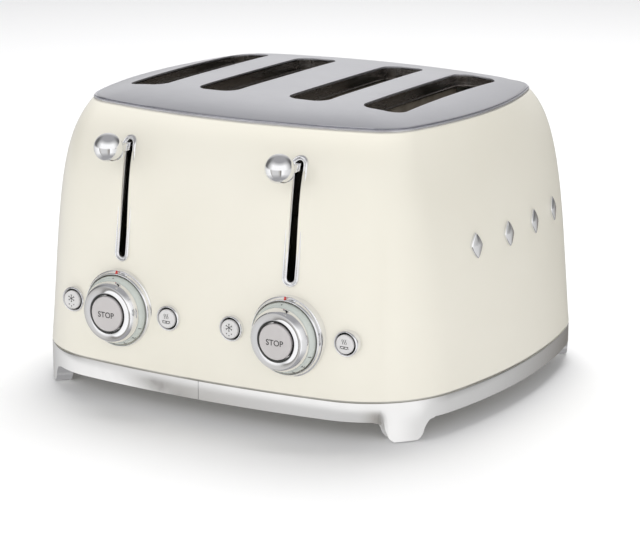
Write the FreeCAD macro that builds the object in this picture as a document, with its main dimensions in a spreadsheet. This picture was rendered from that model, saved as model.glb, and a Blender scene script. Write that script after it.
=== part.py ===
import FreeCAD, Part
import math
import os
import re
import Sketcher
from FreeCAD import Vector

# Four-slot pop-up toaster, millimetres, +Z up, front towards -Y.
# The origin is on the floor, midway between the four feet.

doc = FreeCAD.newDocument("toaster")
sheet = doc.addObject("Spreadsheet::Sheet", "Sizes")

SIZES = [
    # shell
    ("body_half_width", 166.6),
    ("body_half_depth", 150.8),
    ("body_side_bow", 28.7),
    ("body_front_bow", 17.4),
    ("body_corner_radius", 71.0),
    ("body_wall", 1.6),
    ("rim_half_width", 138.3),
    ("rim_half_depth", 117.4),
    ("rim_side_bow", 25.0),
    ("rim_front_bow", 24.0),
    ("rim_corner_radius", 30.0),
    ("rim_height", 198.0),
    ("rim_ledge_width", 7.0),
    ("side_lean", 12.0),
    ("side_roll_power", 4.0),
    ("front_lean", 15.0),
    ("front_roll_power", 12.0),
    ("bow_blend_power", 1.6),
    # top panel and slot collars
    ("panel_sheet", 1.2),
    ("crown_height", 208.4),
    ("crown_power", 6.0),
    ("slot_inner_offset", 35.7),
    ("slot_outer_offset", 92.6),
    ("slot_width", 31.2),
    ("slot_length", 145.5),
    ("slot_corner", 10.0),
    ("collar_wall", 0.8),
    ("collar_foot_height", 198.2),
    ("collar_bead_height", 0.9),
    ("collar_bead_reach", 0.9),
    # base
    ("plate_top_height", 28.8),
    ("plate_sheet", 1.2),
    ("plate_inset", 1.0),
    ("ring_foot_height", 14.7),
    ("ring_wall", 10.0),
    ("foot_clearance", 0.8),
    ("foot_angle", 41.0),
    ("foot_tip_half_width", 8.1),
    ("foot_root_half_width", 21.2),
    ("pad_radius", 5.0),
    ("pad_thickness", 2.6),
    ("pad_seat_inset", 6.6),
    ("screw_head_radius", 3.2),
    ("screw_head_height", 2.0),
    # crumb trays
    ("tray_inner_edge", 10.0),
    ("tray_outer_edge", 118.0),
    ("tray_front_edge", 78.0),
    ("tray_foot_height", 17.2),
    ("tray_depth", 8.0),
    ("tray_sheet", 1.0),
    ("tray_play", 0.6),
    ("rail_sheet", 1.2),
    ("rail_lip", 4.0),
    # toasting chamber
    ("frame_face", 72.0),
    ("frame_sheet", 1.0),
    ("frame_half_width", 122.0),
    ("frame_top_height", 189.0),
    ("arm_slot_half_width", 3.5),
    ("card_offset", 17.0),
    ("card_sheet", 1.0),
    ("card_foot_height", 52.0),
    ("card_top_height", 197.6),
    ("ribbon_width", 2.0),
    ("ribbon_thickness", 0.3),
    ("ribbon_pitch", 13.0),
    ("ribbon_half_length", 58.0),
    ("ribbon_foot_height", 66.0),
    ("guard_offset", 13.0),
    ("guard_wire", 1.6),
    ("guard_post", 1.2),
    ("guard_half_length", 69.0),
    ("guard_foot_height", 66.0),
    ("guard_top_height", 190.0),
    # lift mechanism
    ("control_offset", 66.0),
    ("lever_height", 176.0),
    ("lever_travel", 70.0),
    ("lever_slot_width", 5.4),
    ("lever_slot_foot_height", 102.2),
    ("lever_slot_top_height", 180.0),
    ("bezel_rim", 3.2),
    ("bezel_stand", 2.0),
    ("stem_half_width", 1.5),
    ("stem_half_height", 2.6),
    ("knob_radius", 9.75),
    ("knob_reach", 24.5),
    ("knob_rise", 3.2),
    ("neck_radius", 8.3),
    ("neck_tip_radius", 4.2),
    ("neck_set_back", 4.6),
    ("neck_length", 6.2),
    ("carriage_sheet", 2.0),
    ("carriage_face", 82.0),
    ("rack_height", 125.0),
    ("rack_half_width", 6.0),
    ("rack_sheet", 1.2),
    ("arm_half_width", 2.0),
    ("rod_radius", 2.5),
    ("rod_offset", 18.0),
    ("rod_line", 87.0),
    ("rod_play", 0.35),
    ("spring_offset", 8.5),
    ("spring_radius", 3.2),
    ("spring_wire", 0.5),
    ("magnet_half_width", 9.0),
    ("magnet_top_height", 92.0),
    ("board_face", 118.0),
    ("board_sheet", 1.6),
    ("board_half_width", 112.0),
    ("board_top_height", 92.0),
    ("switch_depth", 6.0),
    # dials and buttons
    ("dial_height", 66.7),
    ("flange_radius", 27.0),
    ("flange_bore", 25.0),
    ("flange_stand", 5.0),
    ("dial_play", 0.5),
    ("skirt_radius", 24.4),
    ("cap_radius", 21.5),
    ("skirt_stand", 9.0),
    ("dial_stand", 15.3),
    ("dial_recess_radius", 13.8),
    ("dial_recess_depth", 6.0),
    ("shaft_radius", 4.0),
    ("stop_radius", 12.1),
    ("stop_cap", 3.0),
    ("button_spacing", 41.3),
    ("button_bezel_radius", 8.8),
    ("button_radius", 6.4),
    ("button_play", 0.4),
    ("button_stand", 3.2),
    ("plunger_radius", 3.5),
    ("press_room", 3.0),
    # rear and side trim
    ("gland_height", 50.0),
    ("gland_radius", 9.0),
    ("gland_bore", 3.6),
    ("gland_stand", 3.5),
    ("boot_radius", 6.4),
    ("boot_wall", 1.3),
    ("stud_pitch", 41.0),
    ("stud_front", 54.0),
    ("stud_height", 119.0),
    ("stud_half_width", 6.0),
    ("stud_half_height", 8.5),
    ("stud_stand", 2.5),
]
ALIASES = [row[0] for row in SIZES]


def put(row, alias, value):
    sheet.set("A%d" % row, alias)
    sheet.set("B%d" % row, repr(value))
    sheet.setAlias("B%d" % row, alias)


for number, (alias, value) in enumerate(SIZES, 1):
    put(number, alias, value)
doc.recompute()
S = {alias: float(sheet.get(alias)) for alias in ALIASES}


def outline(half_x, half_y, bow_x, bow_y, corner, z):
    """Closed wire of eight tangent arcs: four bowed sides and four round corners."""
    front_r = (half_x ** 2 + bow_y ** 2) / (2 * bow_y)
    side_r = (half_y ** 2 + bow_x ** 2) / (2 * bow_x)
    front_c = Vector(0, front_r - half_y, 0)
    side_c = Vector(half_x - side_r, 0, 0)
    reach_f = front_r - corner
    reach_s = side_r - corner
    apart = (side_c - front_c).Length
    along = (reach_f ** 2 - reach_s ** 2 + apart ** 2) / (2 * apart)
    across = math.sqrt(max(reach_f ** 2 - along ** 2, 0.0))
    unit = (side_c - front_c) / apart
    normal = Vector(-unit.y, unit.x, 0)
    first = front_c + unit * along + normal * across
    second = front_c + unit * along - normal * across
    centre = first if first.x > 0 and first.y < 0 else second
    touch_f = centre + (centre - front_c).normalize() * corner
    touch_s = centre + (centre - side_c).normalize() * corner
    middle = centre + ((touch_f + touch_s) / 2 - centre).normalize() * corner
    quarter = [touch_f, middle, touch_s]

    def flip(point, sx, sy):
        return Vector(point.x * sx, point.y * sy, z)

    edges = []
    fr = [flip(p, 1, 1) for p in quarter]
    br = [flip(p, 1, -1) for p in reversed(quarter)]
    bl = [flip(p, -1, -1) for p in quarter]
    fl = [flip(p, -1, 1) for p in reversed(quarter)]
    edges.append(Part.Arc(fl[2], Vector(0, -half_y, z), fr[0]).toShape())
    edges.append(Part.Arc(*fr).toShape())
    edges.append(Part.Arc(fr[2], Vector(half_x, 0, z), br[0]).toShape())
    edges.append(Part.Arc(*br).toShape())
    edges.append(Part.Arc(br[2], Vector(0, half_y, z), bl[0]).toShape())
    edges.append(Part.Arc(*bl).toShape())
    edges.append(Part.Arc(bl[2], Vector(-half_x, 0, z), fl[0]).toShape())
    edges.append(Part.Arc(*fl).toShape())
    return Part.Wire(edges)


def body_sizes(z, inset):
    """Half width, half depth, bows and corner radius of the shell at a height."""
    low = S["plate_top_height"]
    part = (z - low) / (S["rim_height"] - low)
    blend = part ** S["bow_blend_power"]
    drop_x = S["body_half_width"] - S["rim_half_width"] - S["side_lean"]
    drop_y = S["body_half_depth"] - S["rim_half_depth"] - S["front_lean"]
    half_x = S["body_half_width"] - S["side_lean"] * part - drop_x * part ** S["side_roll_power"]
    half_y = S["body_half_depth"] - S["front_lean"] * part - drop_y * part ** S["front_roll_power"]
    bow_x = S["body_side_bow"] + (S["rim_side_bow"] - S["body_side_bow"]) * blend
    bow_y = S["body_front_bow"] + (S["rim_front_bow"] - S["body_front_bow"]) * blend
    corner = S["body_corner_radius"] + (S["rim_corner_radius"] - S["body_corner_radius"]) * blend
    return half_x - inset, half_y - inset, bow_x, bow_y, corner - inset


def body_loft(inset, top):
    """Solid of the shell's outside, moved in by inset and ended at a height."""
    low = S["plate_top_height"]
    steps = [0.0, 0.2, 0.42, 0.62, 0.76, 0.86, 0.93, 0.97, 1.0]
    wires = []
    for step in steps:
        z = low + (top - low) * step
        wires.append(outline(*body_sizes(z, inset), z))
    return Part.makeLoft(wires, True, False)


def face_y(x, z):
    """Distance from the centre plane to the shell's front face."""
    half_x, half_y, bow_x, bow_y, corner = body_sizes(z, 0.0)
    front_r = (half_x ** 2 + bow_y ** 2) / (2 * bow_y)
    return half_y - front_r + math.sqrt(front_r ** 2 - x ** 2)


# Places on the bowed shell that the trim is set out from.
DERIVED = [
    ("dial_seat", face_y(S["control_offset"], S["dial_height"])),
    ("knob_line", face_y(S["control_offset"], S["lever_height"]) + S["knob_reach"]),
    ("inner_button_seat", face_y(S["control_offset"] - S["button_spacing"], S["dial_height"])),
    ("outer_button_seat", face_y(S["control_offset"] + S["button_spacing"], S["dial_height"])),
    ("gland_seat", face_y(0.0, S["gland_height"])),
    ("front_reach", face_y(S["control_offset"], S["lever_height"]) + S["knob_reach"]
     + S["knob_radius"]),
]
for number, (alias, value) in enumerate(DERIVED, len(SIZES) + 2):
    put(number, alias, round(value, 3))
    ALIASES.append(alias)
    S[alias] = round(value, 3)
doc.recompute()


def expression(text):
    def swap(match):
        word = match.group(0)
        return "Sizes." + word if word in ALIASES else word
    return re.sub(r"[a-z_]+", swap, str(text))


def bind(thing, prop, text):
    thing.setExpression(prop, expression(text))


def locate(thing, x, y, z):
    bind(thing, "Placement.Base.x", x)
    bind(thing, "Placement.Base.y", y)
    bind(thing, "Placement.Base.z", z)


def block(name, x0, x1, y0, y1, z0, z1):
    thing = doc.addObject("Part::Box", name)
    bind(thing, "Length", "(%s) - (%s)" % (x1, x0))
    bind(thing, "Width", "(%s) - (%s)" % (y1, y0))
    bind(thing, "Height", "(%s) - (%s)" % (z1, z0))
    locate(thing, x0, y0, z0)
    return thing


TURNS = {
    "up": FreeCAD.Rotation(),
    "front": FreeCAD.Rotation(Vector(1, 0, 0), 90),
    "rear": FreeCAD.Rotation(Vector(1, 0, 0), -90),
    "right": FreeCAD.Rotation(Vector(0, 1, 0), 90),
}


def round_bar(name, radius, length, x, y, z, way="up"):
    thing = doc.addObject("Part::Cylinder", name)
    thing.Placement = FreeCAD.Placement(Vector(), TURNS[way])
    bind(thing, "Radius", radius)
    bind(thing, "Height", length)
    locate(thing, x, y, z)
    return thing


def taper(name, radius_a, radius_b, length, x, y, z, way="up"):
    thing = doc.addObject("Part::Cone", name)
    thing.Placement = FreeCAD.Placement(Vector(), TURNS[way])
    bind(thing, "Radius1", radius_a)
    bind(thing, "Radius2", radius_b)
    bind(thing, "Height", length)
    locate(thing, x, y, z)
    return thing


def join(name, things):
    whole = doc.addObject("Part::MultiFuse", name)
    whole.Shapes = things
    return whole


def less(name, base, tool):
    whole = doc.addObject("Part::Cut", name)
    whole.Base = base
    whole.Tool = tool
    return whole


def both(name, one, other):
    whole = doc.addObject("Part::Common", name)
    whole.Base = one
    whole.Tool = other
    return whole


def gather(name, things):
    whole = doc.addObject("Part::Compound", name)
    whole.Links = things
    return whole


def fixed_shape(name, shape):
    thing = doc.addObject("Part::Feature", name)
    thing.Shape = shape
    return thing


def turned(name, corners, x, y, z, way):
    """Turned piece: a closed profile of (radius, height) points about its own axis."""
    body = doc.addObject("PartDesign::Body", name)
    sketch = body.newObject("Sketcher::SketchObject", name + "_profile")
    plane = [item for item in body.Origin.OriginFeatures if item.Role == "XZ_Plane"][0]
    sketch.AttachmentSupport = [(plane, "")]
    sketch.MapMode = "FlatFace"
    spots = []
    for radius, height in corners:
        r_now = size_of(radius)
        h_now = size_of(height)
        spots.append((r_now, h_now))
    count = len(corners)
    for index in range(count):
        near = spots[index]
        far = spots[(index + 1) % count]
        line = Part.LineSegment(Vector(near[0], near[1], 0), Vector(far[0], far[1], 0))
        sketch.addGeometry(line, False)
    for index in range(count):
        sketch.addConstraint(Sketcher.Constraint("Coincident", index, 2, (index + 1) % count, 1))
    for index, (radius, height) in enumerate(corners):
        pairs = (("DistanceX", radius, spots[index][0], -2), ("DistanceY", height, spots[index][1], -1))
        for kind, text, now, axis in pairs:
            if str(text) == "0":
                sketch.addConstraint(Sketcher.Constraint("PointOnObject", index, 1, axis))
                continue
            made = sketch.addConstraint(Sketcher.Constraint(kind, -1, 1, index, 1, now))
            sketch.setExpression("Constraints[%d]" % made, expression(text))
    spin = body.newObject("PartDesign::Revolution", name + "_turn")
    spin.Profile = sketch
    spin.ReferenceAxis = (sketch, ["V_Axis"])
    spin.Angle = 360
    body.Placement = FreeCAD.Placement(Vector(), TURNS[way])
    locate(body, x, y, z)
    return body


def size_of(text):
    """Value of a sum of size names and numbers, such as 'cap_radius - dial_play'."""
    total = 0.0
    sign = 1.0
    for word in str(text).split():
        if word == "+":
            sign = 1.0
        elif word == "-":
            sign = -1.0
        else:
            total += sign * (S[word] if word in S else float(word))
    return total


def stadium(half_width, low, high, thick, name, plane):
    """Long hole with round ends, as a solid: upright in the front face or along Y in the top."""
    straight_a = low + half_width
    straight_b = high - half_width
    a = Vector(-half_width, straight_a, 0)
    b = Vector(-half_width, straight_b, 0)
    c = Vector(half_width, straight_b, 0)
    d = Vector(half_width, straight_a, 0)
    edges = [
        Part.makeLine(a, b),
        Part.Arc(b, Vector(0, high, 0), c).toShape(),
        Part.makeLine(c, d),
        Part.Arc(d, Vector(0, low, 0), a).toShape(),
    ]
    solid = Part.Face(Part.Wire(edges)).extrude(Vector(0, 0, thick))
    thing = fixed_shape(name, solid)
    thing.Placement = FreeCAD.Placement(Vector(), TURNS[plane])
    return thing


def round_slot(half_width, half_length, corner, thick, name):
    """Long hole along Y in the top, with round corners, as a solid standing on z = 0."""
    x, y, r = half_width, half_length, corner
    s = r * (1 - math.sqrt(0.5))
    turns = [
        (Vector(r - x, -y, 0), Vector(s - x, s - y, 0), Vector(-x, r - y, 0)),
        (Vector(-x, y - r, 0), Vector(s - x, y - s, 0), Vector(r - x, y, 0)),
        (Vector(x - r, y, 0), Vector(x - s, y - s, 0), Vector(x, y - r, 0)),
        (Vector(x, r - y, 0), Vector(x - s, s - y, 0), Vector(x - r, -y, 0)),
    ]
    edges = []
    for place, (start, middle, end) in enumerate(turns):
        edges.append(Part.Arc(start, middle, end).toShape())
        edges.append(Part.makeLine(end, turns[(place + 1) % 4][0]))
    return fixed_shape(name, Part.Face(Part.Wire(edges)).extrude(Vector(0, 0, thick)))


NODES = []


def sub_part(thing, label):
    thing.Label = label
    NODES.append(thing)
    return thing


SIDES = (("left", "-1", -1.0), ("right", "1", 1.0))

# ---------------------------------------------------------------- shell and panel
outer = body_loft(0.0, S["rim_height"])
inner = body_loft(S["body_wall"], S["rim_height"] - S["body_wall"])
ledge = outline(
    S["rim_half_width"] - S["rim_ledge_width"],
    S["rim_half_depth"] - S["rim_ledge_width"],
    S["rim_side_bow"],
    S["rim_front_bow"],
    S["rim_corner_radius"] - S["rim_ledge_width"],
    S["rim_height"] - 2 * S["body_wall"],
)
mouth = Part.Face(ledge).extrude(Vector(0, 0, 3 * S["body_wall"]))
shell_solid = outer.cut(inner).cut(mouth)

openings = []
for side, sign, way in SIDES:
    hole = stadium(
        S["lever_slot_width"] / 2 + 0.35,
        S["lever_slot_foot_height"] - 0.35,
        S["lever_slot_top_height"] + 0.35,
        60.0,
        "lever_hole_%s" % side,
        "front",
    )
    hole.Placement.Base = Vector(way * S["control_offset"], -S["board_face"] + 20.0, 0)
    openings.append(hole)
    openings.append(round_bar(
        "dial_hole_%s" % side, "shaft_radius + 2", 60, sign + " * control_offset",
        "-board_face + 20", "dial_height", "front"))
    for place, shift in (("inner", "- button_spacing"), ("outer", "+ button_spacing")):
        openings.append(round_bar(
            "button_hole_%s_%s" % (place, side), "button_radius + button_play + 0.1", 60,
            "%s * (control_offset %s)" % (sign, shift),
            "-board_face + 20", "dial_height", "front"))
openings.append(round_bar(
    "gland_hole", "gland_bore + 2", 30, 0, "gland_seat - 15", "gland_height", "rear"))
body_blank = fixed_shape("body_blank", shell_solid)
body_shell = less("body_shell", body_blank, gather("body_openings", openings))
sub_part(body_shell, "body_shell")


def dome(shift):
    """Solid under the crowned panel face, from the rim up, lowered by shift."""
    rim = S["rim_height"] + S["panel_sheet"]
    rise = S["crown_height"] - rim
    wires = []
    for q in (1.0, 0.985, 0.965, 0.94, 0.91, 0.87, 0.82, 0.75, 0.62, 0.4):
        z = rim + rise * (1 - q ** S["crown_power"]) - shift
        wires.append(outline(
            S["rim_half_width"] * q, S["rim_half_depth"] * q, S["rim_side_bow"] * q,
            S["rim_front_bow"] * q, S["rim_corner_radius"] * q, z))
    return Part.makeLoft(wires, True, True)


rim_wire = outline(
    S["rim_half_width"], S["rim_half_depth"], S["rim_side_bow"], S["rim_front_bow"],
    S["rim_corner_radius"], S["rim_height"])
rim_prism = Part.Face(rim_wire).extrude(Vector(0, 0, S["panel_sheet"]))
crown_solid = rim_prism.fuse(dome(0.0)).removeSplitter()
panel_blank = fixed_shape("panel_blank", crown_solid.cut(dome(S["panel_sheet"])))
collar_limit = fixed_shape("collar_limit", dome(S["panel_sheet"]).fuse(
    Part.Face(rim_wire).extrude(Vector(0, 0, -40))).removeSplitter())

SLOTS = (
    ("1", "-slot_outer_offset", -S["slot_outer_offset"]),
    ("2", "-slot_inner_offset", -S["slot_inner_offset"]),
    ("3", "slot_inner_offset", S["slot_inner_offset"]),
    ("4", "slot_outer_offset", S["slot_outer_offset"]),
)
slot_holes = []
for number, text, x in SLOTS:
    hole = round_slot(S["slot_width"] / 2, S["slot_length"] / 2, S["slot_corner"], 60.0,
                      "slot_hole_" + number)
    hole.Placement.Base = Vector(x, 0, S["collar_foot_height"] - 20)
    slot_holes.append(hole)
top_panel = less("top_panel", panel_blank, gather("slot_holes", slot_holes))
sub_part(top_panel, "top_panel")
for number, text, x in SLOTS:
    half_x, half_y, corner = S["slot_width"] / 2, S["slot_length"] / 2, S["slot_corner"]
    wall, reach = S["collar_wall"], S["collar_bead_reach"]
    wide = round_slot(half_x + wall, half_y + wall, corner + wall, 40.0, "collar_outside_" + number)
    throat = round_slot(half_x, half_y, corner, 40.0, "collar_throat_" + number)
    mouth = round_slot(half_x - reach, half_y - reach, corner - reach, 40.0, "collar_mouth_" + number)
    wide.Placement.Base = Vector(x, 0, S["collar_foot_height"])
    throat.Placement.Base = Vector(x, 0, S["collar_foot_height"] + S["collar_bead_height"])
    mouth.Placement.Base = Vector(x, 0, S["collar_foot_height"])
    tube = less("collar_tube_" + number, wide, join("collar_bore_" + number, [throat, mouth]))
    sub_part(both("slot_collar_" + number, tube, collar_limit), "slot_collar_" + number)

# ---------------------------------------------------------------- base ring and feet
base_sizes = body_sizes(S["plate_top_height"], 0.0)
ring_top = S["plate_top_height"] - S["plate_sheet"]
tall = Part.Face(outline(*base_sizes, S["foot_clearance"])).extrude(
    Vector(0, 0, ring_top - S["foot_clearance"]))
hollow_sizes = body_sizes(S["plate_top_height"], S["ring_wall"])
hollow = Part.Face(outline(*hollow_sizes, 0.0)).extrude(Vector(0, 0, ring_top + 5))
keep = Part.makeBox(400, 400, ring_top, Vector(-200, -200, S["ring_foot_height"]))
tip = S["foot_tip_half_width"]
root = S["foot_root_half_width"]
rise = S["ring_foot_height"] - S["foot_clearance"]
curve = [
    Vector(root, 0, S["ring_foot_height"]),
    Vector(root * 0.70 + tip * 0.30, 0, S["ring_foot_height"] - rise * 0.10),
    Vector(root * 0.43 + tip * 0.57, 0, S["ring_foot_height"] - rise * 0.42),
    Vector(root * 0.24 + tip * 0.76, 0, S["ring_foot_height"] - rise * 0.82),
    Vector(tip, 0, S["foot_clearance"]),
]
flank = Part.BSplineCurve()
flank.interpolate(curve)
mirror = FreeCAD.Matrix()
mirror.scale(-1, 1, 1)
left_points = [Vector(-p.x, 0, p.z) for p in curve]
flank_left = Part.BSplineCurve()
flank_left.interpolate(left_points)
top_z = S["ring_foot_height"] + 2
foot_wire = Part.Wire(Part.__sortEdges__([
    flank.toShape(),
    Part.makeLine(curve[-1], left_points[-1]),
    flank_left.toShape(),
    Part.makeLine(left_points[0], Vector(-root, 0, top_z)),
    Part.makeLine(Vector(-root, 0, top_z), Vector(root, 0, top_z)),
    Part.makeLine(Vector(root, 0, top_z), curve[0]),
]))
foot_prism = Part.Face(foot_wire).extrude(Vector(0, 120, 0))
feet = []
for sx, sy in ((1, -1), (1, 1), (-1, 1), (-1, -1)):
    bearing = math.degrees(math.atan2(
        sy * math.sin(math.radians(S["foot_angle"])), sx * math.cos(math.radians(S["foot_angle"]))))
    foot = foot_prism.copy()
    spot = FreeCAD.Placement(Vector(), FreeCAD.Rotation(Vector(0, 0, 1), bearing - 90))
    anchor_x = sx * (base_sizes[0] - 26.1)
    anchor_y = sy * (base_sizes[1] - 30.0)
    shift_back = Vector(math.cos(math.radians(bearing)), math.sin(math.radians(bearing)), 0) * -70
    spot.Base = Vector(anchor_x, anchor_y, 0) + shift_back
    foot.Placement = spot
    feet.append(foot)
    S["foot_x"] = base_sizes[0] - 26.1
    S["foot_y"] = base_sizes[1] - 30.0
ring_solid = tall.cut(hollow)
allowed = keep.multiFuse(feet)
ring_whole = ring_solid.common(allowed)
pads = []
seat_step = S["pad_seat_inset"]
for sx, sy in ((1, -1), (1, 1), (-1, 1), (-1, -1)):
    lean = math.radians(S["foot_angle"])
    px = sx * (S["foot_x"] - seat_step * math.cos(lean))
    py = sy * (S["foot_y"] - seat_step * math.sin(lean))
    pads.append((px, py))
    pit = Part.makeCylinder(S["pad_radius"], S["pad_thickness"] + 1, Vector(px, py, -1))
    ring_whole = ring_whole.cut(pit)
tray_low = S["tray_foot_height"] - S["tray_play"]
for way in (-1.0, 1.0):
    lo = min(way * S["tray_inner_edge"], way * S["tray_outer_edge"]) - S["tray_play"]
    wide = S["tray_outer_edge"] - S["tray_inner_edge"] + 2 * S["tray_play"]
    gap = Part.makeBox(wide, 80, S["tray_depth"] + 2 * S["tray_play"], Vector(lo, 100, tray_low))
    ring_whole = ring_whole.cut(gap)
ring_whole = fixed_shape("ring_whole", ring_whole)
for side, sign, way in SIDES:
    lo = "-220" if side == "left" else "0"
    hi = "0" if side == "left" else "220"
    half = block("ring_half_" + side, lo, hi, "-220", "220", "-5", "60")
    sub_part(both("base_ring_" + side, ring_whole, half), "base_ring_" + side)
pad_solids = []
for number, (px, py) in enumerate(pads, 1):
    pad_solids.append(round_bar(
        "foot_pad_%d" % number, "pad_radius", "pad_thickness", repr(px), repr(py), "0"))
sub_part(gather("foot_pads", pad_solids), "foot_pads")

plate_sizes = body_sizes(S["plate_top_height"], S["plate_inset"])
plate_blank = fixed_shape("plate_blank", Part.Face(outline(*plate_sizes, ring_top)).extrude(
    Vector(0, 0, S["plate_sheet"])))
crumb_holes = []
for side, sign, way in SIDES:
    crumb_holes.append(block(
        "crumb_hole_" + side,
        "%s * 64.55 - 48" % sign, "%s * 64.55 + 48" % sign, "-64", "64", "20", "40"))
base_plate = less("base_plate", plate_blank, gather("crumb_holes", crumb_holes))
sub_part(base_plate, "base_plate")

screws = []
for number, (sx, sy) in enumerate((
        ("-100", "-105"), ("-34", "-115"), ("34", "-115"), ("100", "-105"),
        ("-134", "-50"), ("134", "-50"), ("-134", "50"), ("134", "50")), 1):
    head = round_bar("screw_head_%d" % number, "screw_head_radius", "screw_head_height", sx, sy,
                     "plate_top_height - plate_sheet - screw_head_height")
    groove = block("screw_groove_%d" % number, sx + " - 2.4", sx + " + 2.4",
                   sy + " - 0.4", sy + " + 0.4",
                   "plate_top_height - plate_sheet - screw_head_height - 1",
                   "plate_top_height - plate_sheet - screw_head_height + 0.8")
    screws.append(less("screw_%d" % number, head, groove))
sub_part(gather("base_screws", screws), "base_screws")

# ---------------------------------------------------------------- crumb trays and rails
tray_limit = fixed_shape("tray_limit", Part.Face(outline(
    *body_sizes(S["plate_top_height"], 0.4), 0.0)).extrude(Vector(0, 0, 40)))
for side, sign, way in SIDES:
    near = "tray_inner_edge" if side == "right" else "-tray_outer_edge"
    far = "tray_outer_edge" if side == "right" else "-tray_inner_edge"
    pan = block("tray_pan_" + side, near, far, "-tray_front_edge", "170",
                "tray_foot_height", "tray_foot_height + tray_depth")
    well = block("tray_well_" + side, near + " + tray_sheet", far + " - tray_sheet",
                 "-tray_front_edge + tray_sheet", "body_half_depth - 14",
                 "tray_foot_height + tray_sheet", "tray_foot_height + tray_depth + 5")
    grip = block("tray_grip_" + side, "%s * 64 - 22" % sign, "%s * 64 + 22" % sign,
                 "body_half_depth - 11.5", "170", "tray_foot_height - 5", "tray_foot_height + 4.6")
    trimmed = both("tray_trim_" + side, pan, tray_limit)
    hollowed = less("tray_hollow_" + side, trimmed, well)
    sub_part(less("crumb_tray_" + side, hollowed, grip), "crumb_tray_" + side)
rails = []
for side, sign, way in SIDES:
    for edge, name, turn in (("tray_inner_edge", "inner", "-1"), ("tray_outer_edge", "outer", "1")):
        web_a = "%s * (%s + %s * tray_play)" % (sign, edge, turn)
        web_b = "%s * (%s + %s * (tray_play + rail_sheet))" % (sign, edge, turn)
        lip_b = "%s * (%s - %s * rail_lip)" % (sign, edge, turn)
        flip = (side == "left") != (turn == "-1")
        web = (web_b, web_a) if flip else (web_a, web_b)
        lip = (web_b, lip_b) if flip else (lip_b, web_b)
        upright = block("rail_web_%s_%s" % (name, side), web[0], web[1], "-84", "84",
                        "tray_foot_height - tray_play - rail_sheet",
                        "plate_top_height - plate_sheet")
        shelf = block("rail_lip_%s_%s" % (name, side), lip[0], lip[1], "-84", "84",
                      "tray_foot_height - tray_play - rail_sheet",
                      "tray_foot_height - tray_play")
        rails.append(join("rail_%s_%s" % (name, side), [upright, shelf]))
sub_part(gather("tray_rails", rails), "tray_rails")

# ---------------------------------------------------------------- toasting chamber
for label, y0, y1, front in (
        ("front_frame", "-frame_face", "-frame_face + frame_sheet", True),
        ("rear_frame", "frame_face - frame_sheet", "frame_face", False)):
    plate = block(label + "_plate", "-frame_half_width", "frame_half_width", y0, y1,
                  "plate_top_height", "frame_top_height")
    pieces = [plate]
    for side, sign, way in SIDES:
        far = "-frame_face" if front else "frame_face + 12"
        near = "-rod_line - 9" if front else "frame_face"
        pieces.append(block(
            "%s_shelf_%s" % (label, side), "%s * control_offset - 34" % sign,
            "%s * control_offset + 34" % sign, near, far,
            "frame_top_height - 1.2", "frame_top_height"))
    windows = []
    for number, text, x in SLOTS:
        windows.append(block(
            "%s_window_%s" % (label, number), text + " - arm_slot_half_width",
            text + " + arm_slot_half_width", "(%s) - 5" % y0, "(%s) + 5" % y1,
            "rack_height - lever_travel - 8", "rack_height + 6"))
    whole = join(label + "_blank", pieces)
    sub_part(less(label, whole, gather(label + "_windows", windows)), label)

for side, sign, way in SIDES:
    cards = []
    ribbons = []
    pair = SLOTS[:2] if side == "left" else SLOTS[2:]
    for number, text, x in pair:
        for face, turn in (("a", "-1"), ("b", "1")):
            lo = "%s - card_offset - card_sheet" % text if turn == "-1" else "%s + card_offset" % text
            hi = "%s - card_offset" % text if turn == "-1" else "%s + card_offset + card_sheet" % text
            cards.append(block("card_%s%s" % (number, face), lo, hi,
                               "-frame_face + frame_sheet", "frame_face - frame_sheet",
                               "card_foot_height", "card_top_height"))
            r0 = hi if turn == "-1" else "%s - ribbon_thickness" % lo
            r1 = "%s + ribbon_thickness" % hi if turn == "-1" else lo
            strips = []
            for row in range(9):
                z0 = "ribbon_foot_height + %d * ribbon_pitch" % row
                strips.append(block("strip_%s%s_%d" % (number, face, row), r0, r1,
                                    "-ribbon_half_length", "ribbon_half_length",
                                    z0, z0 + " + ribbon_width"))
                if row < 8:
                    end = "1" if row % 2 else "-1"
                    y0 = "-ribbon_half_length" if end == "-1" else "ribbon_half_length - ribbon_width"
                    y1 = "-ribbon_half_length + ribbon_width" if end == "-1" else "ribbon_half_length"
                    strips.append(block("bend_%s%s_%d" % (number, face, row), r0, r1, y0, y1,
                                        z0, z0 + " + ribbon_pitch + ribbon_width"))
            ribbons.append(join("winding_%s%s" % (number, face), strips))
    sub_part(gather("mica_cards_" + side, cards), "mica_cards_" + side)
    sub_part(gather("heater_ribbons_" + side, ribbons), "heater_ribbons_" + side)

guard_number = 0
for number, text, x in SLOTS:
    for turn in ("-1", "1"):
        guard_number += 1
        name = "bread_guard_%d" % guard_number
        mid = "%s + %s * guard_offset" % (text, turn)
        wires = []
        for level, place in enumerate(("guard_foot_height", "(guard_foot_height + guard_top_height) / 2",
                                       "guard_top_height")):
            wires.append(round_bar("%s_rail_%d" % (name, level), "guard_wire / 2",
                                   "2 * guard_half_length", mid, "-guard_half_length", place, "rear"))
        for post in range(9):
            wires.append(round_bar(
                "%s_post_%d" % (name, post), "guard_post / 2",
                "guard_top_height - guard_foot_height", mid,
                "(%d / 4 - 1) * (guard_half_length - 9)" % post, "guard_foot_height"))
        sub_part(join(name, wires), name)

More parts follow.
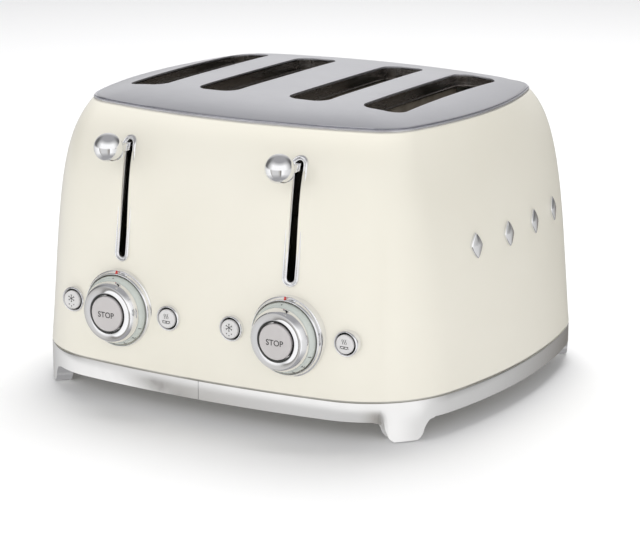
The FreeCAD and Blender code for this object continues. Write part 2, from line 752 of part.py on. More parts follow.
# ---------------------------------------------------------------- lift mechanism
for side, sign, way in SIDES:
    cx = "%s * control_offset" % sign
    pair = SLOTS[:2] if side == "left" else SLOTS[2:]
    lo_slot, hi_slot = pair[0][1], pair[1][1]
    spine = block("spine_" + side, cx + " - 12", cx + " + 12", "-carriage_face",
                  "-carriage_face + carriage_sheet", "rack_height - 6", "lever_height + 5")
    beam = block("beam_" + side, lo_slot + " - 6", hi_slot + " + 6", "-carriage_face",
                 "-carriage_face + carriage_sheet", "rack_height - 6", "rack_height + 5")
    pieces = [spine, beam]
    for number, text, x in pair:
        pieces.append(block("arm_" + number, text + " - arm_half_width", text + " + arm_half_width",
                            "-carriage_face + carriage_sheet", "-frame_face + 4",
                            "rack_height - 5", "rack_height"))
    for turn in ("-1", "1"):
        rod_x = "%s + %s * rod_offset" % (cx, turn)
        tag = "a" if turn == "-1" else "b"
        reach = (cx + " - rod_offset - rod_radius - rod_play - 2.5", cx + " - 11") if turn == "-1" else (
            cx + " + 11", cx + " + rod_offset + rod_radius + rod_play + 2.5")
        pieces.append(block("wing_%s_%s" % (tag, side), reach[0], reach[1], "-carriage_face",
                            "-carriage_face + carriage_sheet", "lever_height - 26", "lever_height - 14"))
        for edge in ("-1", "1"):
            near = "%s + %s * (rod_radius + rod_play)" % (rod_x, edge)
            far = "%s + %s * (rod_radius + rod_play + 2.5)" % (rod_x, edge)
            prong = (far, near) if edge == "-1" else (near, far)
            pieces.append(block("prong_%s_%s_%s" % (tag, "a" if edge == "-1" else "b", side),
                                prong[0], prong[1], "-rod_line - rod_radius", "-carriage_face",
                                "lever_height - 26", "lever_height - 14"))
    pieces.append(block("latch_arm_" + side, cx + " - 7", cx + " + 3", "-board_face + board_sheet + 8",
                        "-carriage_face", "magnet_top_height + lever_travel + 0.8",
                        "magnet_top_height + lever_travel + 2.8"))
    pieces.append(block("spring_hook_" + side, cx + " + spring_offset - 1.2",
                        cx + " + spring_offset + 1.2", "-rod_line - spring_radius", "-carriage_face",
                        "lever_height - 24", "lever_height - 21"))
    sub_part(join("carriage_" + side, pieces), "carriage_" + side)

    stem = block("stem_bar_" + side, cx + " - stem_half_width", cx + " + stem_half_width",
                 "-knob_line + 3", "-carriage_face", "lever_height - stem_half_height",
                 "lever_height + stem_half_height")
    sub_part(stem, "lever_stem_" + side)

    ball = doc.addObject("Part::Sphere", "ball_" + side)
    bind(ball, "Radius", "knob_radius")
    locate(ball, cx, "-knob_line", "lever_height + knob_rise")
    neck = taper("neck_" + side, "neck_tip_radius", "neck_radius", "neck_length",
                 cx, "-knob_line + neck_set_back + neck_length",
                 "lever_height + knob_rise / 2", "front")
    bore = block("knob_socket_" + side, cx + " - stem_half_width", cx + " + stem_half_width",
                 "-knob_line + 3", "-carriage_face", "lever_height - stem_half_height",
                 "lever_height + stem_half_height")
    knob = join("knob_blank_" + side, [ball, neck])
    sub_part(less("lever_knob_" + side, knob, bore), "lever_knob_" + side)

    for number, text, x in pair:
        strip = block("rack_strip_" + number, text + " - rack_half_width", text + " + rack_half_width",
                      "-frame_face + 4", "frame_face - 4", "rack_height", "rack_height + rack_sheet")
        tongue = block("rack_tongue_" + number, text + " - arm_half_width", text + " + arm_half_width",
                       "frame_face - 4", "frame_face + 5", "rack_height", "rack_height + rack_sheet")
        heel = block("rack_heel_" + number, text + " - arm_half_width", text + " + arm_half_width",
                     "-frame_face - 4", "-frame_face + 4", "rack_height", "rack_height + rack_sheet")
        teeth = []
        for tooth in range(8):
            y = "(%d - 3.5) * 15" % tooth
            for turn in ("-1", "1"):
                near = "%s + %s * rack_half_width" % (text, turn)
                far = "%s + %s * (rack_half_width - rack_sheet)" % (text, turn)
                pair_x = (near, far) if turn == "-1" else (far, near)
                teeth.append(block("tooth_%s_%d_%s" % (number, tooth, "a" if turn == "-1" else "b"),
                                   pair_x[0], pair_x[1], y + " - 2", y + " + 2",
                                   "rack_height", "rack_height + 4"))
        holes = []
        for gap in range(7):
            holes.append(block("rack_gap_%s_%d" % (number, gap), text + " - 3", text + " + 3",
                               "(%d - 3) * 15 - 5" % gap, "(%d - 3) * 15 + 5" % gap,
                               "rack_height - 1", "rack_height + 5"))
        rack = join("rack_blank_" + number, [strip, tongue, heel] + teeth)
        sub_part(less("bread_rack_" + number, rack, gather("rack_gaps_" + number, holes)),
                 "bread_rack_" + number)

    rods = []
    for turn in ("-1", "1"):
        rods.append(round_bar("rod_%s_%s" % ("a" if turn == "-1" else "b", side), "rod_radius",
                              "frame_top_height - 1.2 - plate_top_height",
                              "%s + %s * rod_offset" % (cx, turn), "-rod_line", "plate_top_height"))
    sub_part(gather("guide_rods_" + side, rods), "guide_rods_" + side)

    coil_low = S["lever_height"] - 21
    coil_high = S["frame_top_height"] - 1.2
    turns_high = coil_high - coil_low - 2 * S["spring_wire"]
    helix = Part.makeHelix(turns_high / 14, turns_high, S["spring_radius"])
    ring = Part.Wire(Part.makeCircle(S["spring_wire"], Vector(S["spring_radius"], 0, 0), Vector(0, 1, 0)))
    coil = Part.Wire(helix).makePipeShell([ring], True, True)
    spring = fixed_shape("lift_spring_" + side, coil)
    spring.Placement.Base = Vector(way * S["control_offset"] + S["spring_offset"], -S["rod_line"],
                                   coil_low + S["spring_wire"])
    sub_part(spring, "lift_spring_" + side)

    core = block("magnet_core_" + side, cx + " - magnet_half_width", cx + " + magnet_half_width",
                 "-board_face + board_sheet", "-board_face + board_sheet + 18",
                 "magnet_top_height - 24", "magnet_top_height")
    coil_wrap = round_bar("magnet_coil_" + side, "magnet_half_width + 2", "14", cx,
                          "-board_face + board_sheet + 11", "magnet_top_height - 19", "up")
    sub_part(join("latch_magnet_" + side, [core, coil_wrap]), "latch_magnet_" + side)

# ---------------------------------------------------------------- control board
board = [block("board_sheet_blank", "-board_half_width", "board_half_width", "-board_face",
               "-board_face + board_sheet", "plate_top_height", "board_top_height")]
for side, sign, way in SIDES:
    board.append(round_bar("sensor_" + side, "8", "switch_depth", sign + " * control_offset",
                           "-board_face", "dial_height", "front"))
    for place, shift in (("inner", "-"), ("outer", "+")):
        bx = "%s * (control_offset %s button_spacing)" % (sign, shift)
        board.append(block("switch_%s_%s" % (place, side), bx + " - 4", bx + " + 4",
                           "-board_face - switch_depth", "-board_face",
                           "dial_height - 4", "dial_height + 4"))
    board.append(block("relay_" + side, sign + " * 20 - 8", sign + " * 20 + 8",
                       "-board_face + board_sheet", "-board_face + board_sheet + 15", "34", "50"))
sub_part(join("control_board", board), "control_board")

# ---------------------------------------------------------------- trim, dials and buttons
outer_shape = fixed_shape("shell_outside", outer)
skin = fixed_shape("trim_skin", body_loft(-S["bezel_stand"], S["rim_height"]).cut(outer))
for side, sign, way in SIDES:
    cx = "%s * control_offset" % sign
    half = S["lever_slot_width"] / 2
    wide = stadium(half + S["bezel_rim"], S["lever_slot_foot_height"] - S["bezel_rim"],
                   S["lever_slot_top_height"] + S["bezel_rim"], 80.0, "bezel_outside_" + side, "front")
    slim = stadium(half, S["lever_slot_foot_height"], S["lever_slot_top_height"], 80.0,
                   "bezel_inside_" + side, "front")
    wide.Placement.Base = Vector(way * S["control_offset"], -100, 0)
    slim.Placement.Base = Vector(way * S["control_offset"], -100, 0)
    band = less("bezel_band_" + side, wide, slim)
    sub_part(both("lever_bezel_" + side, band, skin), "lever_bezel_" + side)

    flange = turned("flange_ring_" + side, [
        ("flange_bore", "0"),
        ("flange_radius", "0"),
        ("flange_radius", "flange_stand + 3.6"),
        ("flange_radius - 1.4", "flange_stand + 5"),
        ("flange_bore + 0.8", "flange_stand + 5"),
        ("flange_bore", "flange_stand + 4.2"),
    ], cx, "-dial_seat + 5", "dial_height", "front")
    sub_part(less("dial_flange_" + side, flange, outer_shape), "dial_flange_" + side)

    sub_part(turned("browning_dial_" + side, [
        ("0", "0"),
        ("shaft_radius", "0"),
        ("shaft_radius", "dial_seat - board_face - switch_depth + 3.3"),
        ("skirt_radius - 1", "dial_seat - board_face - switch_depth + 3.3"),
        ("skirt_radius", "dial_seat - board_face - switch_depth + 4.3"),
        ("skirt_radius", "dial_seat - board_face - switch_depth + 5.1"),
        ("cap_radius - 0.4", "dial_seat - board_face - switch_depth + skirt_stand - 0.1"),
        ("cap_radius", "dial_seat - board_face - switch_depth + skirt_stand + 0.4"),
        ("cap_radius - 1.9", "dial_seat - board_face - switch_depth + dial_stand - 1.2"),
        ("cap_radius - 2.9", "dial_seat - board_face - switch_depth + dial_stand"),
        ("dial_recess_radius", "dial_seat - board_face - switch_depth + dial_stand"),
        ("dial_recess_radius",
         "dial_seat - board_face - switch_depth + dial_stand - dial_recess_depth"),
        ("0", "dial_seat - board_face - switch_depth + dial_stand - dial_recess_depth"),
    ], cx, "-board_face - switch_depth - 0.5", "dial_height", "front"),
        "browning_dial_" + side)

    sub_part(turned("stop_button_" + side, [
        ("0", "0"),
        ("stop_radius - 6", "0"),
        ("stop_radius - 6", "stop_cap - 1"),
        ("stop_radius", "stop_cap - 1"),
        ("stop_radius", "stop_cap + 1"),
        ("stop_radius - 0.8", "stop_cap + 1.8"),
        ("0", "stop_cap + 1.8"),
    ], cx, "-dial_seat - dial_stand + dial_recess_depth - 4.1 + 1.2", "dial_height", "front"),
        "stop_button_" + side)

rims = []
for side, sign, way in SIDES:
    for place, shift, label in (("inner", "-", None), ("outer", "+", None)):
        bx = "%s * (control_offset %s button_spacing)" % (sign, shift)
        seat = place + "_button_seat"
        rim = turned("button_rim_%s_%s" % (place, side), [
            ("button_radius + button_play", "0"),
            ("button_bezel_radius", "0"),
            ("button_bezel_radius", "button_stand + 5.6"),
            ("button_bezel_radius - 0.8", "button_stand + 6.4"),
            ("button_radius + button_play", "button_stand + 6.4"),
        ], bx, "-%s + 7" % seat, "dial_height", "front")
        rims.append(less("button_bezel_%s_%s" % (place, side), rim, outer_shape))
        left_icon = (side == "left") == (place == "outer")
        name = ("defrost_button_" if left_icon else "reheat_button_") + side
        sub_part(turned(name, [
            ("0", "0"),
            ("plunger_radius", "0"),
            ("plunger_radius", "%s - board_face - switch_depth - press_room + 0.6" % seat),
            ("button_radius", "%s - board_face - switch_depth - press_room + 0.6" % seat),
            ("button_radius",
             "%s - board_face - switch_depth - press_room + button_stand + 0.2" % seat),
            ("button_radius - 0.5",
             "%s - board_face - switch_depth - press_room + button_stand + 0.7" % seat),
            ("0", "%s - board_face - switch_depth - press_room + button_stand + 0.7" % seat),
        ], bx, "-board_face - switch_depth - press_room", "dial_height", "front"), name)
sub_part(gather("button_bezels", rims), "button_bezels")

gland_blank = turned("gland_blank", [
    ("gland_bore", "0"),
    ("gland_bore + 2", "0"),
    ("gland_bore + 2", "10"),
    ("gland_radius", "10"),
    ("gland_radius - 1.5", "10 + gland_stand"),
    ("boot_radius", "10 + gland_stand"),
    ("gland_bore + boot_wall", "front_reach - gland_seat + 10"),
    ("gland_bore", "front_reach - gland_seat + 10"),
], "0", "gland_seat - 10", "gland_height", "rear")
sub_part(less("cord_gland", gland_blank, body_shell), "cord_gland")

stud_skin = fixed_shape("stud_skin", body_loft(-S["stud_stand"], S["rim_height"]).cut(outer))
studs = []
for number in range(4):
    prism = doc.addObject("Part::Prism", "stud_prism_%d" % (number + 1))
    prism.Polygon = 4
    prism.Placement = FreeCAD.Placement(Vector(), TURNS["right"])
    bind(prism, "Circumradius", "stud_half_height")
    bind(prism, "Height", "60")
    locate(prism, "body_half_width - 40", "-stud_front + %d * stud_pitch" % number, "stud_height")
    narrow = block("stud_width_%d" % (number + 1), "0", "240",
                   "-stud_front + %d * stud_pitch - stud_half_width" % number,
                   "-stud_front + %d * stud_pitch + stud_half_width" % number, "0", "300")
    slim = both("stud_slim_%d" % (number + 1), prism, narrow)
    studs.append(both("stud_%d" % (number + 1), slim, stud_skin))
sub_part(gather("side_studs", studs), "side_studs")

# ---------------------------------------------------------------- checks and files
doc.recompute()
for thing in doc.Objects:
    for word in ("Invalid", "Error"):
        if word in thing.State:
            raise RuntimeError("%s is %s" % (thing.Name, thing.State))
names = [thing.Label for thing in NODES]
if len(names) != len(set(names)):
    raise RuntimeError("two sub-parts share a name")
for thing in NODES:
    if thing.Shape.isNull() or not thing.Shape.isValid() or not thing.Shape.Solids:
        raise RuntimeError("%s has no valid solid" % thing.Label)
os.makedirs("parts", exist_ok=True)
for thing in NODES:
    thing.Shape.exportStep("parts/%s.step" % thing.Label)
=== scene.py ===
import math

import bmesh
import bpy
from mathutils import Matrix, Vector


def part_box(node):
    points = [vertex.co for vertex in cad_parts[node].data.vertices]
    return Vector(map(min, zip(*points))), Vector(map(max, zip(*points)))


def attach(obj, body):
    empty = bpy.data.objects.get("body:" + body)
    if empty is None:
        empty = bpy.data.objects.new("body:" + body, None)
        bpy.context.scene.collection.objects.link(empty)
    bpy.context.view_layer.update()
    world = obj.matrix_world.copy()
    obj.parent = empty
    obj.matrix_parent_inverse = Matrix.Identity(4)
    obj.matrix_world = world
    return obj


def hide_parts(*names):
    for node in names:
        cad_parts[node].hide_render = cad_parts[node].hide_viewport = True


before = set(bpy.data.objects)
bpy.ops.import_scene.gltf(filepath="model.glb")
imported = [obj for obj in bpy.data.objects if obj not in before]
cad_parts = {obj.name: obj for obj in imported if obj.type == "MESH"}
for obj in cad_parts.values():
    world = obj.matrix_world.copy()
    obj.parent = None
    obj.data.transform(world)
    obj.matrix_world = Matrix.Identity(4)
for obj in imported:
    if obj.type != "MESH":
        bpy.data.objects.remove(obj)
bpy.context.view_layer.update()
bpy.ops.object.select_all(action="DESELECT")

# ---------------------------------------------------------------------------
# Enamelled shell: one deep pressing of sheet steel with bowed sides and round
# corners, coated inside and out in cream enamel. It stands on the floor plate
# and ends in a narrow ledge that the top lies on.
# ---------------------------------------------------------------------------
SHELL_LOW, SHELL_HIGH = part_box("body_shell")
FOOT_Z = SHELL_LOW.z
RIM_Z = SHELL_HIGH.z
WALL = 0.0016
SHELL_FOOT = (0.1666, 0.1508, 0.0287, 0.0174, 0.071)
SHELL_RIM = (0.1383, 0.1174, 0.0250, 0.0240, 0.030)
SIDE_LEAN, SIDE_POWER = 0.012, 4.0
FRONT_LEAN, FRONT_POWER = 0.015, 12.0
BOW_POWER = 1.6


def shell_outline(z, inset=0.0):
    """Half width, half depth, side bow, front bow and corner radius of the shell at a height."""
    part = (z - FOOT_Z) / (RIM_Z - FOOT_Z)
    blend = max(part, 0.0) ** BOW_POWER
    roll_x = (SHELL_FOOT[0] - SHELL_RIM[0] - SIDE_LEAN) * max(part, 0.0) ** SIDE_POWER
    roll_y = (SHELL_FOOT[1] - SHELL_RIM[1] - FRONT_LEAN) * max(part, 0.0) ** FRONT_POWER
    bow_x, bow_y, corner = (a + (b - a) * blend for a, b in zip(SHELL_FOOT[2:], SHELL_RIM[2:]))
    return (SHELL_FOOT[0] - SIDE_LEAN * part - roll_x - inset,
            SHELL_FOOT[1] - FRONT_LEAN * part - roll_y - inset, bow_x, bow_y, corner - inset)


def bowed_ring(half_x, half_y, bow_x, bow_y, corner, z, steps=24):
    """Closed outline of four bowed sides and four round corners, as a flat curve made a mesh."""
    front_r = (half_x ** 2 + bow_y ** 2) / (2 * bow_y)
    side_r = (half_y ** 2 + bow_x ** 2) / (2 * bow_x)
    front_c = Vector((0, front_r - half_y))
    side_c = Vector((half_x - side_r, 0))
    apart = side_c - front_c
    reach_f, reach_s = front_r - corner, side_r - corner
    along = (reach_f ** 2 - reach_s ** 2 + apart.length_squared) / (2 * apart.length)
    across = math.sqrt(max(reach_f ** 2 - along ** 2, 0.0))
    unit = apart.normalized()
    corner_c = front_c + unit * along + Vector((-unit.y, unit.x)) * across
    if not (corner_c.x > 0 > corner_c.y):
        corner_c = front_c + unit * along - Vector((-unit.y, unit.x)) * across
    touch_f = corner_c + (corner_c - front_c).normalized() * corner
    touch_s = corner_c + (corner_c - side_c).normalized() * corner
    joints = []
    for sx, sy, first, second in ((1, 1, touch_f, touch_s), (1, -1, touch_s, touch_f),
                                  (-1, -1, touch_f, touch_s), (-1, 1, touch_s, touch_f)):
        for spot, kind in ((first, "f" if first is touch_f else "s"),
                           (second, "s" if first is touch_f else "f")):
            centre = front_c if kind == "f" else side_c
            joints.append((Vector((spot.x * sx, spot.y * sy)), Vector((centre.x * sx, centre.y * sy))))
    radii = [corner, side_r, corner, front_r] * 2
    curve = bpy.data.curves.new("outline", "CURVE")
    curve.dimensions = "3D"
    curve.resolution_u = steps
    spline = curve.splines.new("BEZIER")
    spline.bezier_points.add(7)
    spline.use_cyclic_u = True
    tangents = []
    for spot, centre in joints:
        out = (spot - centre).normalized()
        tangents.append(Vector((-out.y, out.x)))
    reach = []
    for index in range(8):
        turn = math.acos(max(-1.0, min(1.0, tangents[index].dot(tangents[(index + 1) % 8]))))
        reach.append(4 / 3 * math.tan(turn / 4) * radii[index])
    for index, (spot, centre) in enumerate(joints):
        point = spline.bezier_points[index]
        point.co = (spot.x, spot.y, z)
        point.handle_left_type = point.handle_right_type = "FREE"
        after = spot + tangents[index] * reach[index]
        before = spot - tangents[index] * reach[index - 1]
        point.handle_right = (after.x, after.y, z)
        point.handle_left = (before.x, before.y, z)
    ring = bpy.data.objects.new("outline", curve)
    bpy.context.collection.objects.link(ring)
    return ring


def only(piece):
    """Makes a piece the one selected and active object."""
    bpy.ops.object.select_all(action="DESELECT")
    piece.select_set(True)
    bpy.context.view_layer.objects.active = piece


def bridged(name, rings, closed=False, capped=False):
    """Skin over a stack of outlines, from the first to the last."""
    bpy.ops.object.select_all(action="DESELECT")
    for ring in rings:
        ring.select_set(True)
    bpy.context.view_layer.objects.active = rings[0]
    bpy.ops.object.convert(target="MESH")
    count = len(rings[0].data.vertices)
    bpy.ops.object.join()
    piece = bpy.context.view_layer.objects.active
    piece.name = piece.data.name = name
    mesh = bmesh.new()
    mesh.from_mesh(piece.data)
    mesh.verts.ensure_lookup_table()
    levels = len(mesh.verts) // count
    for level in range(levels if closed else levels - 1):
        low, high = level * count, (level + 1) % levels * count
        for step in range(count):
            after = (step + 1) % count
            mesh.faces.new([mesh.verts[low + step], mesh.verts[low + after],
                            mesh.verts[high + after], mesh.verts[high + step]])
    if capped:
        mesh.faces.new([mesh.verts[(levels - 1) * count + step] for step in range(count)])
    bmesh.ops.recalc_face_normals(mesh, faces=mesh.faces)
    mesh.to_mesh(piece.data)
    mesh.free()
    return piece


def smooth(piece, angle=35):
    only(piece)
    bpy.ops.object.shade_smooth_by_angle(angle=math.radians(angle))


def long_prism(name, half_width, length, thick, steps=48):
    """Prism with round ends: long in Y, thick in Z, standing on z = 0."""
    bpy.ops.object.select_all(action="DESELECT")
    bpy.ops.mesh.primitive_circle_add(vertices=steps, radius=half_width, fill_type="NGON",
                                      rotation=(0, 0, math.pi / steps))
    bpy.ops.object.transform_apply(location=True, rotation=True, scale=True)
    piece = bpy.context.active_object
    piece.name = piece.data.name = name
    for vertex in piece.data.vertices:
        vertex.co.y += math.copysign(length / 2 - half_width, vertex.co.y)
    bpy.ops.object.mode_set(mode="EDIT")
    bpy.ops.mesh.select_all(action="SELECT")
    bpy.ops.mesh.extrude_region_move(TRANSFORM_OT_translate={"value": (0, 0, thick)})
    bpy.ops.mesh.select_all(action="SELECT")
    bpy.ops.mesh.normals_make_consistent(inside=False)
    bpy.ops.object.mode_set(mode="OBJECT")
    return piece


def place(piece, location=(0, 0, 0), rotation=(0, 0, 0)):
    """Moves and turns a piece in its mesh, so that its object stays at the origin."""
    only(piece)
    piece.rotation_euler = rotation
    piece.location = location
    bpy.ops.object.transform_apply(location=True, rotation=True, scale=True)
    return piece


def cut_away(piece, tool):
    """Takes the tool's solid out of the piece and removes the tool."""
    only(piece)
    step = piece.modifiers.new("cut", "BOOLEAN")
    step.operation = "DIFFERENCE"
    step.solver = "EXACT"
    step.object = tool
    bpy.ops.object.modifier_apply(modifier=step.name)
    bpy.data.objects.remove(tool)


FRONTWARDS = (math.radians(90), 0, 0)
levels = []
for index in range(27):
    part = 1 - (1 - index / 26) ** 1.7
    z = FOOT_Z + (RIM_Z - FOOT_Z - 0.0009) * part
    levels.append(bowed_ring(*shell_outline(z), z))
for inset, drop in ((0.0002, 0.0004), (0.0006, 0.0001), (0.0011, 0.0), (0.0068, 0.0), (0.0070, 0.0002),
                    (0.0070, 0.0014), (0.0068, WALL)):
    levels.append(bowed_ring(*(size - inset if place_in in (0, 1, 4) else size
                               for place_in, size in enumerate(shell_outline(RIM_Z))), RIM_Z - drop))
for part in (0.975, 0.93, 0.86, 0.74, 0.55, 0.3, 0.0):
    z = FOOT_Z + (RIM_Z - FOOT_Z) * part
    levels.append(bowed_ring(*shell_outline(z, WALL), z))
shell = bridged("enamel_shell", levels, closed=True)

LEVER_X = (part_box("lever_stem_right")[0].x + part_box("lever_stem_right")[1].x) / 2
dial_low, dial_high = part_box("browning_dial_right")
DIAL_Z = (dial_low.z + dial_high.z) / 2
SLOT_HALF = 0.0027
BEZEL_RIM = 0.0032
LEVER_SLOT_LOW, LEVER_SLOT_HIGH = 0.1022, 0.1800
BUTTON_STEP = 0.0413
BUTTON_X = [side * (LEVER_X + step) for side in (-1, 1) for step in (-BUTTON_STEP, BUTTON_STEP)]
for side in (-1, 1):
    tool = long_prism("tool", SLOT_HALF + 0.0003, LEVER_SLOT_HIGH - LEVER_SLOT_LOW + 0.0006, 0.06)
    cut_away(shell, place(tool, (side * LEVER_X, -0.1, (LEVER_SLOT_LOW + LEVER_SLOT_HIGH) / 2), FRONTWARDS))
    bpy.ops.mesh.primitive_cylinder_add(vertices=64, radius=0.006, depth=0.06)
    cut_away(shell, place(bpy.context.active_object, (side * LEVER_X, -0.13, DIAL_Z), FRONTWARDS))
button_low, button_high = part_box("reheat_button_right")
BUTTON_R = (button_high.x - button_low.x) / 2
for x in BUTTON_X:
    bpy.ops.mesh.primitive_cylinder_add(vertices=64, radius=BUTTON_R + 0.0005, depth=0.06)
    cut_away(shell, place(bpy.context.active_object, (x, -0.13, DIAL_Z), FRONTWARDS))
gland_low, gland_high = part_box("cord_gland")
bpy.ops.mesh.primitive_cylinder_add(vertices=64, radius=0.0056, depth=0.04)
cut_away(shell, place(bpy.context.active_object, (0, gland_high.y - 0.01, (gland_low.z + gland_high.z) / 2),
                      FRONTWARDS))
smooth(shell, 30)


def finish(name, colour, roughness, metallic=0.0, coat=0.0):
    """Plain start of a material: colour, gloss and lacquer on the shader's own sockets."""
    material = bpy.data.materials.new(name)
    material.use_nodes = True
    shader = material.node_tree.nodes["Principled BSDF"]
    shader.inputs["Base Color"].default_value = (*colour, 1)
    shader.inputs["Roughness"].default_value = roughness
    shader.inputs["Metallic"].default_value = metallic
    shader.inputs["Coat Weight"].default_value = coat
    shader.inputs["Coat Roughness"].default_value = 0.06
    material.diffuse_color = (*colour, 1)
    return material


def pattern(material, scale, stretch=(1, 1, 1), detail=4.0):
    """Noise in the piece's own space, stretched along an axis where the surface was brushed."""
    nodes, links = material.node_tree.nodes, material.node_tree.links
    place_node = nodes.new("ShaderNodeTexCoord")
    mapping = nodes.new("ShaderNodeMapping")
    mapping.inputs["Scale"].default_value = stretch
    noise = nodes.new("ShaderNodeTexNoise")
    noise.inputs["Scale"].default_value = scale
    noise.inputs["Detail"].default_value = detail
    links.new(place_node.outputs["Object"], mapping.inputs["Vector"])
    links.new(mapping.outputs["Vector"], noise.inputs["Vector"])
    return noise


def uneven(material, noise, height, low_rough=None, high_rough=None):
    """Lets a pattern raise the surface a little and vary its gloss."""
    nodes, links = material.node_tree.nodes, material.node_tree.links
    shader = nodes["Principled BSDF"]
    if height:
        bump = nodes.new("ShaderNodeBump")
        bump.inputs["Distance"].default_value = height
        bump.inputs["Strength"].default_value = 0.5
        links.new(noise.outputs["Fac"], bump.inputs["Height"])
        links.new(bump.outputs["Normal"], shader.inputs["Normal"])
    if low_rough is not None:
        span = nodes.new("ShaderNodeMapRange")
        span.inputs["From Min"].default_value = 0.3
        span.inputs["From Max"].default_value = 0.7
        span.inputs["To Min"].default_value = low_rough
        span.inputs["To Max"].default_value = high_rough
        links.new(noise.outputs["Fac"], span.inputs["Value"])
        links.new(span.outputs["Result"], shader.inputs["Roughness"])


def tinted(material, noise, dark, light, low=0.35, high=0.65):
    """Lets a pattern shift the colour between two tones."""
    nodes, links = material.node_tree.nodes, material.node_tree.links
    ramp = nodes.new("ShaderNodeValToRGB")
    ramp.color_ramp.elements[0].position = low
    ramp.color_ramp.elements[1].position = high
    ramp.color_ramp.elements[0].color = (*dark, 1)
    ramp.color_ramp.elements[1].color = (*light, 1)
    links.new(noise.outputs["Fac"], ramp.inputs["Fac"])
    links.new(ramp.outputs["Color"], nodes["Principled BSDF"].inputs["Base Color"])


def dress(piece, material):
    """Gives a new piece its material."""
    piece.data.materials.clear()
    piece.data.materials.append(material)


enamel = finish("cream_enamel", (0.86, 0.828, 0.724), 0.32, coat=0.35)
orange_peel = pattern(enamel, 140, detail=2.0)
uneven(enamel, orange_peel, 0.00003)
flow = pattern(enamel, 9, detail=3.0)
tinted(enamel, flow, (0.852, 0.820, 0.714), (0.868, 0.836, 0.736))
dress(shell, enamel)
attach(shell, "chassis")
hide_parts("body_shell")

# ---------------------------------------------------------------------------
# Top: one sheet of brushed stainless steel, nearly flat and crowned towards its
# rolled edge, lying on the shell's ledge. Four long slots are pressed through
# it, with round corners and soft lips.
# ---------------------------------------------------------------------------
panel_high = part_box("top_panel")[1]
SHEET = 0.0012
CROWN_POWER = 6.0
CROWN = panel_high.z - RIM_Z - SHEET
SLOT_X = (0.0357, 0.0926)
SLOT_HALF_X, SLOT_HALF_Y, SLOT_CORNER = 0.0156, 0.07275, 0.010
rings = []
for inset, up in ((0.0009, 0.0), (0.0009, 0.00045), (0.00025, 0.0005), (0.0, 0.00075), (0.0, 0.0010),
                  (0.00025, 0.0013), (0.0006, 0.0014), (0.0009, 0.00135), (0.0011, 0.0010), (0.0013, 0.0009),
                  (0.0015, 0.0011), (0.0017, 0.0016)):
    rings.append(bowed_ring(*(size - inset if place_in in (0, 1, 4) else size
                              for place_in, size in enumerate(SHELL_RIM)), RIM_Z + up))
for q in (0.983, 0.976, 0.968, 0.958, 0.946, 0.932, 0.916, 0.898, 0.878, 0.855, 0.83, 0.80, 0.765, 0.72, 0.66,
          0.58, 0.5, 0.4, 0.3, 0.2, 0.1, 0.03):
    rings.append(bowed_ring(*(size * q for size in SHELL_RIM), RIM_Z + SHEET + CROWN * (1 - q ** CROWN_POWER)))
panel = bridged("crowned_top", rings, capped=True)
only(panel)
sheet = panel.modifiers.new("sheet", "SOLIDIFY")
sheet.thickness = 0.0018
sheet.offset = -1
bpy.ops.object.modifier_apply(modifier=sheet.name)
for x in (-SLOT_X[1], -SLOT_X[0], SLOT_X[0], SLOT_X[1]):
    bpy.ops.mesh.primitive_cube_add(size=1)
    tool = bpy.context.active_object
    tool.scale = (2 * SLOT_HALF_X, 2 * SLOT_HALF_Y, 0.05)
    place(tool, (x, 0, RIM_Z + 0.01))
    bpy.ops.object.mode_set(mode="EDIT")
    bpy.ops.mesh.select_mode(type="EDGE")
    bpy.ops.mesh.select_all(action="DESELECT")
    bpy.ops.object.mode_set(mode="OBJECT")
    for edge in tool.data.edges:
        ends = [tool.data.vertices[v].co for v in edge.vertices]
        edge.select = abs((ends[0] - ends[1]).z) > 0.04
    bpy.ops.object.mode_set(mode="EDIT")
    bpy.ops.mesh.bevel(offset=SLOT_CORNER, segments=16)
    bpy.ops.object.mode_set(mode="OBJECT")
    cut_away(panel, tool)


def off_slot(spot):
    """Distance of a point from the nearest slot's wall, seen from above."""
    found = []
    for x in (-SLOT_X[1], -SLOT_X[0], SLOT_X[0], SLOT_X[1]):
        across = abs(spot.x - x) - SLOT_HALF_X + SLOT_CORNER
        along = abs(spot.y) - SLOT_HALF_Y + SLOT_CORNER
        reach = math.hypot(across, along) if across > 0 and along > 0 else max(across, along)
        found.append(abs(reach - SLOT_CORNER))
    return min(found)


only(panel)
bpy.ops.object.mode_set(mode="EDIT")
bpy.ops.mesh.select_mode(type="EDGE")
bpy.ops.mesh.select_all(action="DESELECT")
bpy.ops.mesh.edges_select_sharp(sharpness=math.radians(35))
bpy.ops.object.mode_set(mode="OBJECT")
for edge in panel.data.edges:
    a, b = (panel.data.vertices[v].co for v in edge.vertices)
    level = abs((a - b).z) < 0.5 * (a - b).length
    edge.select = edge.select and level and off_slot(a) < 0.0002 and off_slot(b) < 0.0002
bpy.ops.object.mode_set(mode="EDIT")
bpy.ops.mesh.bevel(offset=0.0008, segments=4, clamp_overlap=True)
bpy.ops.object.mode_set(mode="OBJECT")
smooth(panel, 40)

brushed = finish("brushed_top", (0.75, 0.75, 0.78), 0.34, metallic=1.0)
strokes = pattern(brushed, 60, stretch=(1, 26, 26), detail=5.0)
uneven(brushed, strokes, 0.000012, 0.30, 0.40)
clouds = pattern(brushed, 14, detail=3.0)
tinted(brushed, clouds, (0.73, 0.73, 0.765), (0.77, 0.77, 0.805))
dress(panel, brushed)
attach(panel, "chassis")
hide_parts("top_panel")

# ---------------------------------------------------------------------------
# Slot collars: dark polished sheet sleeves that hang in the bread slots and
# end in a rolled bead. They keep crumbs and hands off the elements.
# ---------------------------------------------------------------------------


def paint(node, material):
    """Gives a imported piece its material."""
    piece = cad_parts[node]
    piece.data.materials.clear()
    piece.data.materials.append(material)


